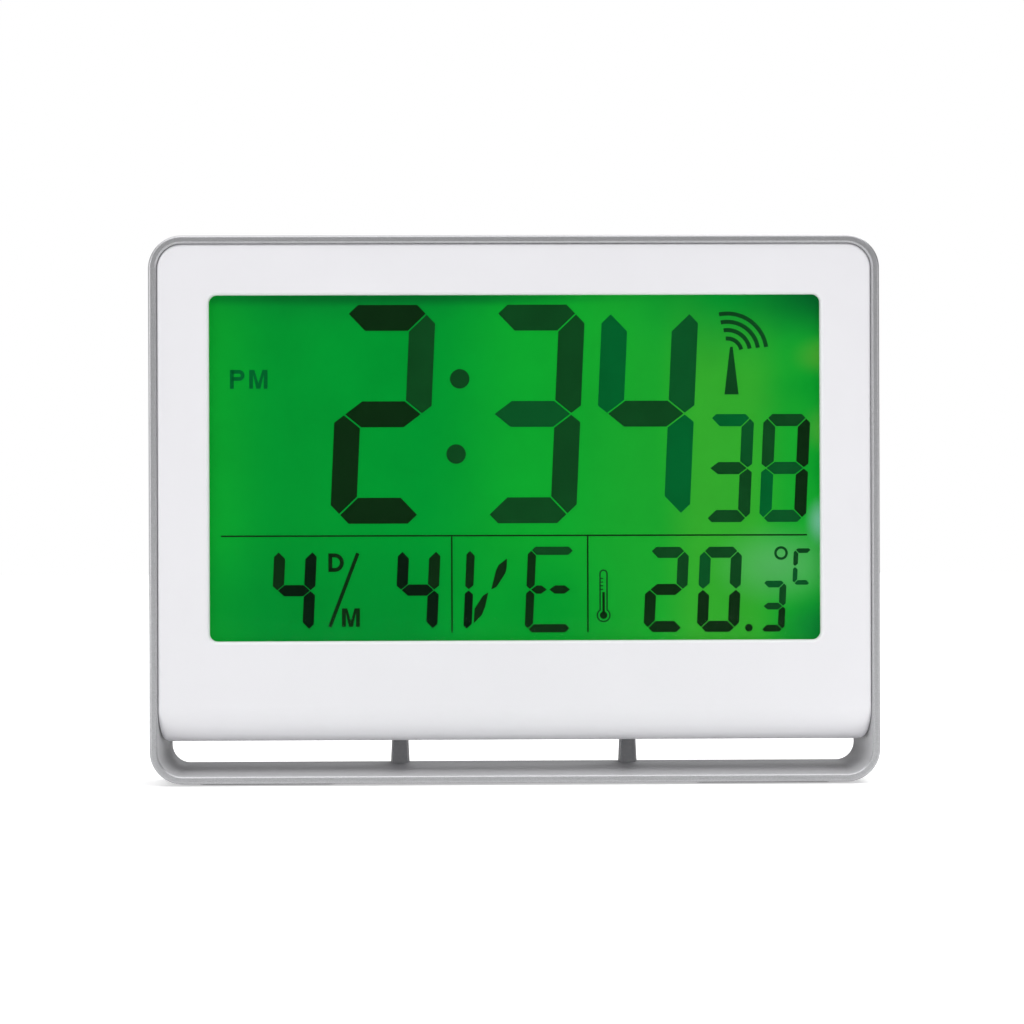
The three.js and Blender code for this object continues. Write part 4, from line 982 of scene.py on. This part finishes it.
def drawDigits():
    for name, corner, tone, lit, others in litDigits:
        size = digitSizes[name]
        bars = digitBars(size)
        for letter in lit:
            addFigure(others.get(letter, tone), bars[letter], size["soft"], corner)


# The weekday's two letters, in the same bars: the first has slanting ones added, the second has a
# middle bar in two halves, and its outer bars end in a blunt point
weekdayLook = {
    "first": (-15.7, 45.75), "second": (2.8, 45.75), "slantSoft": 0.25,
    "risingBar": [
        (12.3, 22.4), (9.8, 20.4), (9.1, 18.8), (7.9, 13.0), (9.5, 13.8), (12.0, 18.0), (12.3, 19.7),
    ],
    "fallingBar": [(7.1, 12.2), (5.5, 11.2), (3.1, 7.2), (3.05, 2.8), (5.4, 5.3), (6.3, 7.8)],
    "pointFrom": 0.9, "pointTo": 0.4, "halvesFrom": 0.3, "halfGap": 0.35, "halvesTo": 0.1, "taper": 1.7,
}


def drawWeekday():
    look, size = weekdayLook, digitSizes["letters"]
    bars = digitBars(size)
    width, height, bar, soft = size["width"], size["height"], size["bar"], size["soft"]
    for letter, tone in (("f", "dark"), ("e", "black")):
        addFigure(tone, bars[letter], soft, look["first"])
    for slanting in ("risingBar", "fallingBar"):
        addFigure("dark", look[slanting], look["slantSoft"], look["first"])
    start, point, middle = width - look["pointFrom"], width + look["pointTo"], height / 2
    top = [bars["a"][5], bars["a"][0], (start, height), (point, height - bar / 2), (start, height - bar),
           bars["a"][4]]
    halves = []
    for left, right in ((size["cut"] / 2 + look["halvesFrom"], width / 2 - look["halfGap"]),
                        (width / 2 + look["halfGap"], width + look["halvesTo"])):
        near, far = left + look["taper"], right - look["taper"]
        halves.append([(left, middle), (near, middle + bar / 2), (far, middle + bar / 2), (right, middle),
                       (far, middle - bar / 2), (near, middle - bar / 2)])
    addFigure("deep", top, soft, look["second"])
    for outline in (bars["f"], bars["e"], [(x, height - z) for x, z in top], *halves):
        addFigure("dark", outline, soft, look["second"])


# Steps in which the round strokes are drawn
arcSteps = {"bowl": 12, "signal": 24, "bulb": 28, "tubeCap": 12, "bulbDisc": 20}

# Plain capitals in strokes of one width, set from their lower left corners. The first is a stem with
# a bowl of the given width that ends at the given share of the height; the second is an M.
captionLook = [
    {"height": 5.7, "stroke": 1.15, "tone": "light", "first": (-85.75, 119.55), "bowl": (4.4, 0.42),
     "second": (-79.95, 119.55)},
    {"height": 5.6, "stroke": 1.2, "tone": "dark", "first": (-56.3, 64.25), "bowl": (4.7, 0.0),
     "second": (-52.25, 47.65)},
]
# width and the start of the legs' slant as shares of the height, the rest as shares of the stroke
letterM = {"width": 0.97, "slantFrom": 0.74, "shoulder": 1.35, "notch": 1.5, "foot": 0.52}


def capitalM(corner, height, stroke):
    width, slant = height * letterM["width"], height * letterM["slantFrom"]
    shoulder, notch, foot = (stroke * letterM[part] for part in ("shoulder", "notch", "foot"))
    half = width / 2
    outline = [
        (0, 0), (0, height), (shoulder, height), (half, notch), (width - shoulder, height),
        (width, height), (width, 0), (width - stroke, 0), (width - stroke, slant), (half + foot, 0),
        (half - foot, 0), (stroke, slant), (stroke, 0),
    ]
    return [(corner[0] + x, corner[1] + z) for x, z in outline]


def capitalWithBowl(corner, height, stroke, width, bowlEnd):
    x, z = corner[0] + stroke / 2, corner[1]
    upper, lower = z + height - stroke / 2, z + height * bowlEnd + stroke / 2
    radius = (upper - lower) / 2
    middle = (x + width - stroke - radius, (upper + lower) / 2)
    turn = arcOf(middle, radius, 90, -90, arcSteps["bowl"])
    stem = strokeOf([(x, z), (x, z + height)], stroke)
    return stem + strokeOf([(x, upper), *turn, (x, lower)], stroke)


def drawCaptions():
    for caption in captionLook:
        height, stroke = caption["height"], caption["stroke"]
        signs = [capitalM(caption["second"], height, stroke)]
        signs += capitalWithBowl(caption["first"], height, stroke, *caption["bowl"])
        figures[caption["tone"]] += [plateOf(outline) for outline in signs]


# Rules, colon, point, degree ring, slash, thermometer and the signal sign
markLook = {
    "ruleWidth": 0.46, "ruleEnds": ((-88.6, 75.1), (88.4, 75.0)),
    "dividers": (-19.05, 22.0), "dividerTop": 75.0, "dividerFoot": 45.8,
    "colon": ((-16.5, 122.4), (-17.65, 99.7)), "colonRadius": 2.95,
    "point": (70.7, 46.95), "pointRadius": 1.15,
    "degree": (80.5, 69.5), "degreeRadius": 1.69, "degreeStroke": 0.75,
    "slash": ((-47.4, 69.9), (-55.9, 47.6)), "slashStroke": 1.1,
    "signal": (64.4, 130.05), "signalRadii": (11.9, 9.4, 6.9, 4.35), "signalStroke": 1.25,
    "signalEnds": ((102, 8.5), (102, 9.5), (99, 10.5), (96, 13.5)),
    "mastTop": (65.65, 131.9), "mastFoot": 117.5, "mastHalf": 2.15, "mastTip": 0.4,
    "bulb": (26.75, 50.9), "bulbRadius": 1.9, "bulbDisc": 1.15, "tubeHalf": 1.05, "tubeTop": 64.5,
    "glassStroke": 0.45, "column": 0.75, "columnTop": 57.9,
    "ticks": (62.0, 60.9, 59.8, 58.7), "tickLength": 0.95, "tickStroke": 0.36,
}


def drawMarks():
    look = markLook
    dark, deep = [], []
    dark += strokeOf(look["ruleEnds"], look["ruleWidth"])
    for x in look["dividers"]:
        dark += strokeOf([(x, look["dividerTop"]), (x, look["dividerFoot"])], look["ruleWidth"])
    dark.append(discOf(look["point"], look["pointRadius"]))
    dark += strokeOf(look["slash"], look["slashStroke"])
    deep += [discOf(middle, look["colonRadius"]) for middle in look["colon"]]
    deep += strokeOf(discOf(look["degree"], look["degreeRadius"]), look["degreeStroke"], closed=True)
    for radius, (start, end) in zip(look["signalRadii"], look["signalEnds"]):
        arc = arcOf(look["signal"], radius, start, end, arcSteps["signal"])
        deep += strokeOf(arc, look["signalStroke"])
    x, z = look["mastTop"]
    tip, half, foot = look["mastTip"], look["mastHalf"], look["mastFoot"]
    deep.append([(x - tip, z), (x + tip, z), (x + half, foot), (x - half, foot)])
    x, z = look["bulb"]
    half = look["tubeHalf"]
    neck = math.degrees(math.asin(half / look["bulbRadius"]))
    bulb = arcOf(look["bulb"], look["bulbRadius"], 90 + neck, 450 - neck, arcSteps["bulb"])
    cap = arcOf((x, look["tubeTop"] - half), half, 0, 180, arcSteps["tubeCap"])
    deep += strokeOf([*bulb, *cap], look["glassStroke"], closed=True)
    dark.append(discOf(look["bulb"], look["bulbDisc"], arcSteps["bulbDisc"]))
    dark += strokeOf([(x, z), (x, look["columnTop"])], look["column"])
    for height in look["ticks"]:
        deep += strokeOf([(x - half, height), (x - half + look["tickLength"], height)], look["tickStroke"])
    figures["dark"] += [plateOf(outline) for outline in dark]
    figures["deep"] += [plateOf(outline) for outline in deep]


def makeFigures():
    drawDigits()
    drawWeekday()
    drawCaptions()
    drawMarks()
    for tone, plates in figures.items():
        mesh = meshOf("display_figures_" + tone, plates, figureInks[tone])
        place("display_figures_" + tone, mesh)


makeFigures()
print("display figures made")


# Keys: turned caps with a rounded edge and a dish for the fingertip; two carry a raised arrowhead
keyLook = {
    "plungerRadius": 2.0, "plungerLength": 1.4, "flangeRadius": 5.6, "flangeHeight": 1.2,
    "capRadius": 4.5, "capRound": 0.6, "roundSteps": 6, "dish": 0.4, "dishRings": (0.8, 0.6, 0.4, 0.2),
    "turned": 48, "arrowhead": 1.9, "arrowSunk": 0.2, "arrowBelow": 0.05,
}
# tip and foot of an arrowhead as shares of its half width, and its soft corners
arrowheadLook = {"tip": 0.8, "foot": 0.6, "soft": 0.3}


# A raised arrowhead, its tip upwards or downwards
def arrowheadOf(middle, size, upwards, base, proud):
    rise = size if upwards else -size
    tip, foot = rise * arrowheadLook["tip"], -rise * arrowheadLook["foot"]
    outline = [(middle[0] + x, middle[1] + z) for x, z in ((0, tip), (-size, foot), (size, foot))]
    return prism(softCorners(outline, arrowheadLook["soft"]), base, proud)


def keyCap(node):
    look = keyLook
    low, high = cornersOf(node)
    flangeFront = low.y + look["plungerLength"]
    flangeBack = flangeFront + look["flangeHeight"]
    flat = look["capRadius"] - look["capRound"]
    profile = [(look["plungerRadius"], low.y), (look["plungerRadius"], flangeFront),
               (look["flangeRadius"], flangeFront), (look["flangeRadius"], flangeBack),
               (look["capRadius"], flangeBack)]
    profile += [(look["capRadius"] - inset, high.y - away)
                for away, inset in reversed(quarterRound(look["capRound"], look["roundSteps"]))]
    profile += [(flat * share, high.y - look["dish"] * (1 - share * share)) for share in look["dishRings"]]
    cap = turnedShape(axisOf(node), profile, look["turned"])
    shapes = [cap]
    if node in ("key_up", "key_down"):
        shapes.append(arrowheadOf(axisOf(node), look["arrowhead"], node == "key_up",
                                  high.y - look["dish"] - look["arrowSunk"], high.y - look["arrowBelow"]))
    mesh = meshOf(node + "_cap", shapes, finishes["grey_keys"])
    # the arrowheads are wiped over with white ink
    if len(shapes) > 1:
        mesh.materials.append(finishes["rear_plastic"])
    for face in mesh.polygons:
        face.material_index = int(face.index >= len(cap[1]))
    place(node + "_cap", mesh, frame["nodes"][node]["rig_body"], [node])


for keyNode in ("key_mode", "key_set", "key_up", "key_down", "key_light"):
    keyCap(keyNode)
print("keys made")


# Raised grip ribs and an arrowhead where a thumb opens the battery door, and ribs to pull the leg by
gripLook = {
    "ribWidth": 0.8, "ribProud": 0.35, "sunk": 0.15, "ribSteps": 8, "endRounding": (0.3, 0.8, 1.0),
    "arrowSize": 2.2, "edgeBreak": 0.06,
    "battery_door": {"middle": 73.45, "half": 5.0, "heights": (17.4, 19.1, 20.8, 22.5), "setback": 0.0,
                     "arrow": 28.0},
    "stand_leg": {"middle": 0.0, "half": 9.0, "heights": (21.5, 23.3, 25.1, 26.9), "setback": 0.1},
}


# Half-round ribs on a face, with their ends rounded off
def gripRibs(grip, face):
    shapes = []
    half, proud, sunk = gripLook["ribWidth"] / 2, gripLook["ribProud"], gripLook["sunk"]
    section = arcOf((0, 0), half, 180, 0, gripLook["ribSteps"])
    ends = [(-1, share) for share in gripLook["endRounding"]]
    ends += [(1, share) for share in reversed(gripLook["endRounding"])]
    for z in grip["heights"]:
        rings = []
        for hand, share in ends:
            x = grip["middle"] + hand * (grip["half"] - half * share)
            rings.append([(x, face - sunk, z - half * share)]
                         + [(x, face + proud * share * b / half, z + a * share) for a, b in section]
                         + [(x, face - sunk, z + half * share)])
        shapes.append(loft(rings))
    return shapes


def makeGrips():
    for node in ("battery_door", "stand_leg"):
        grip = gripLook[node]
        face = cornersOf(node)[1].y - grip["setback"]
        shapes = gripRibs(grip, face)
        if "arrow" in grip:
            shapes.append(arrowheadOf((grip["middle"], grip["arrow"]), gripLook["arrowSize"], False,
                                      face - gripLook["sunk"], face + gripLook["ribProud"]))
        mesh = meshOf(node + "_grip", shapes, finishes["rear_plastic"])
        piece = place(node + "_grip", mesh, frame["nodes"][node]["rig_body"])
        breakEdges(piece, gripLook["edgeBreak"])


makeGrips()
print("grips made")


# Pieces kept in their CAD form, with their edges broken as the real ones' are
edgeBreaks = {
    "rear_housing": 0.1, "battery_door": 0.2, "stand_leg": 0.25, "foot_left": 0.2, "foot_right": 0.2,
    "alarm_knob": 0.25, "leg_pin": 0.15, "battery_upper": 0.15, "battery_lower": 0.15,
    "plus_contact": 0.05, "minus_contact": 0.0, "bridge_contact": 0.0,
}
screwBreak = 0.06


def finishPieces():
    upper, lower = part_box("battery_upper"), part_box("battery_lower")
    # the upper cell has its nub at the right, the lower one at the left
    films = {
        "battery_upper": printedCellFilm("printed_film_battery_upper", upper[0].x, upper[1].x),
        "battery_lower": printedCellFilm("printed_film_battery_lower", lower[1].x, lower[0].x),
    }
    for node, width in edgeBreaks.items():
        finishedCopy(node, width, films.get(node))
    for node in sorted(frame["nodes"]):
        if "screw" in node:
            finishedCopy(node, screwBreak)
    for piece in frame["nodes"].values():
        if not piece.hide_render:
            piece.data.materials[0] = finishes[slotOf(piece)]


finishPieces()
print("other pieces finished")


# Studio: pale floor, white surroundings, soft lamps. A flag's fade is where it starts and where it
# is full, as the share of the way from the middle to that side.
studio = {
    "floor": "#F2F2F2", "floorFront": -1.0, "floorReach": 3.0, "floorGlow": 0.4,
    "glowFrom": 0.3, "glowTo": 0.9, "tableLight": 0.18, "ambient": 0.34,
    "rightFlag": 0.12, "rightFade": (0.15, 0.55), "leftFlag": 0.7, "leftFade": (-0.3, -0.8),
    "darkFront": 0.0, "darkFade": (-0.65, -0.93), "darkTilt": 20.0,
    "lamps": [
        {"name": "key_softbox", "place": (-1.25, -1.35, 0.36), "size": (1.0, 0.65), "watts": 5.6},
        {"name": "fill_softbox", "place": (1.35, -1.25, 0.32), "size": (0.9, 0.6), "watts": 2.6},
        {"name": "top_softbox", "place": (0.0, -0.4, 1.33), "size": (2.4, 1.2), "watts": 17},
        {"name": "rear_softbox", "place": (0.8, 1.2, 1.5), "size": (1.3, 1.1), "watts": 17},
    ],
}


def addFloor():
    reach, front = studio["floorReach"], studio["floorFront"]
    mesh = bpy.data.meshes.new("studio_floor")
    corners = [(-reach, front, 0), (reach, front, 0), (reach, reach, 0), (-reach, reach, 0)]
    mesh.from_pydata(corners, [], [(0, 1, 2, 3)])
    material = bpy.data.materials.new("pale_paper_sweep")
    tree = emptyTree(material)
    paper = addNode(tree, "ShaderNodeBsdfDiffuse", {"Color": linear(studio["floor"])})
    # away from the clock the paper runs out into the white surroundings
    spot = addNode(tree, "ShaderNodeTexCoord").outputs["Object"]
    distance = addNode(tree, "ShaderNodeVectorMath", {"operation": "LENGTH"}, {0: spot})
    level = addNode(tree, "ShaderNodeMapRange", {
        "From Min": studio["glowFrom"], "From Max": studio["glowTo"], "To Min": studio["floorGlow"],
        "To Max": 1.0,
    }, {"Value": distance.outputs["Value"]})
    seen = pathsOf(tree, "Is Camera Ray", "Is Glossy Ray", "Is Transmission Ray")
    level = addNode(tree, "ShaderNodeMath", {"operation": "MULTIPLY"}, {0: seen, 1: level})
    # lamps below the paper, as in a photographer's light table, shine on the clock's lower edges
    below = addNode(tree, "ShaderNodeMath", {"operation": "MULTIPLY", 1: studio["tableLight"]},
                    {0: pathsOf(tree, "Is Diffuse Ray")})
    level = addNode(tree, "ShaderNodeMath", {"operation": "MAXIMUM"}, {0: level, 1: below})
    glow = addNode(tree, "ShaderNodeEmission", {"Color": (1, 1, 1, 1)}, {"Strength": level})
    both = addNode(tree, "ShaderNodeAddShader", links={0: paper, 1: glow})
    addNode(tree, "ShaderNodeOutputMaterial", links={"Surface": both})
    mesh.materials.append(material)
    addThing("studio_floor", mesh)


# White all round for the camera, for glass and in reflections, except that the unlit room behind
# the camera is dark, as in a real studio, so that the display keeps its depth. A black flag stands
# at the right, as photographers use it to give metal an edge, and a grey one at the left.
def addSurroundings():
    world = bpy.data.worlds.new("studio_surroundings")
    bpy.context.scene.world = world
    tree = emptyTree(world)
    spot = addNode(tree, "ShaderNodeTexCoord").outputs["Generated"]
    side = addNode(tree, "ShaderNodeSeparateXYZ", links={0: spot}).outputs[0]
    # the dark lies ahead of the clock and a little downwards, fading out some 50 degrees away
    tilt = math.radians(studio["darkTilt"])
    facing = addNode(tree, "ShaderNodeVectorMath", {
        "operation": "DOT_PRODUCT", 1: (0, math.cos(tilt), math.sin(tilt)),
    }, {0: spot}).outputs["Value"]
    mirrored = pathsOf(tree, "Is Glossy Ray", "Is Transmission Ray")
    for source, fade, strength in ((side, "rightFade", "rightFlag"), (side, "leftFade", "leftFlag"),
                                   (facing, "darkFade", "darkFront")):
        start, full = studio[fade]
        shaded = addNode(tree, "ShaderNodeMapRange", {
            "interpolation_type": "SMOOTHSTEP", "From Min": start, "From Max": full,
            "To Min": 1.0, "To Max": studio[strength],
        }, {"Value": source})
        mirrored = addNode(tree, "ShaderNodeMath", {"operation": "MULTIPLY"}, {0: mirrored, 1: shaded})
    shown = addNode(tree, "ShaderNodeMath", {"operation": "MAXIMUM"},
                    {0: pathsOf(tree, "Is Camera Ray"), 1: mirrored})
    diffuse = addNode(tree, "ShaderNodeMath", {"operation": "MULTIPLY", 1: studio["ambient"]},
                      {0: pathsOf(tree, "Is Diffuse Ray")})
    level = addNode(tree, "ShaderNodeMath", {"operation": "MAXIMUM"}, {0: shown, 1: diffuse})
    light = addNode(tree, "ShaderNodeBackground", {"Color": (1, 1, 1, 1)}, {"Strength": level})
    addNode(tree, "ShaderNodeOutputWorld", links={"Surface": light})


def addLamps():
    middle = (cadBox[0] + cadBox[1]) / 2
    for lamp in studio["lamps"]:
        data = bpy.data.lights.new(lamp["name"], "AREA")
        data.shape = "RECTANGLE"
        data.size, data.size_y = lamp["size"]
        data.energy = lamp["watts"]
        thing = addThing(lamp["name"], data)
        thing.location = lamp["place"]
        thing.rotation_euler = (middle - Vector(lamp["place"])).to_track_quat("-Z", "Y").to_euler()


addFloor()
addSurroundings()
addLamps()
print("studio lit")
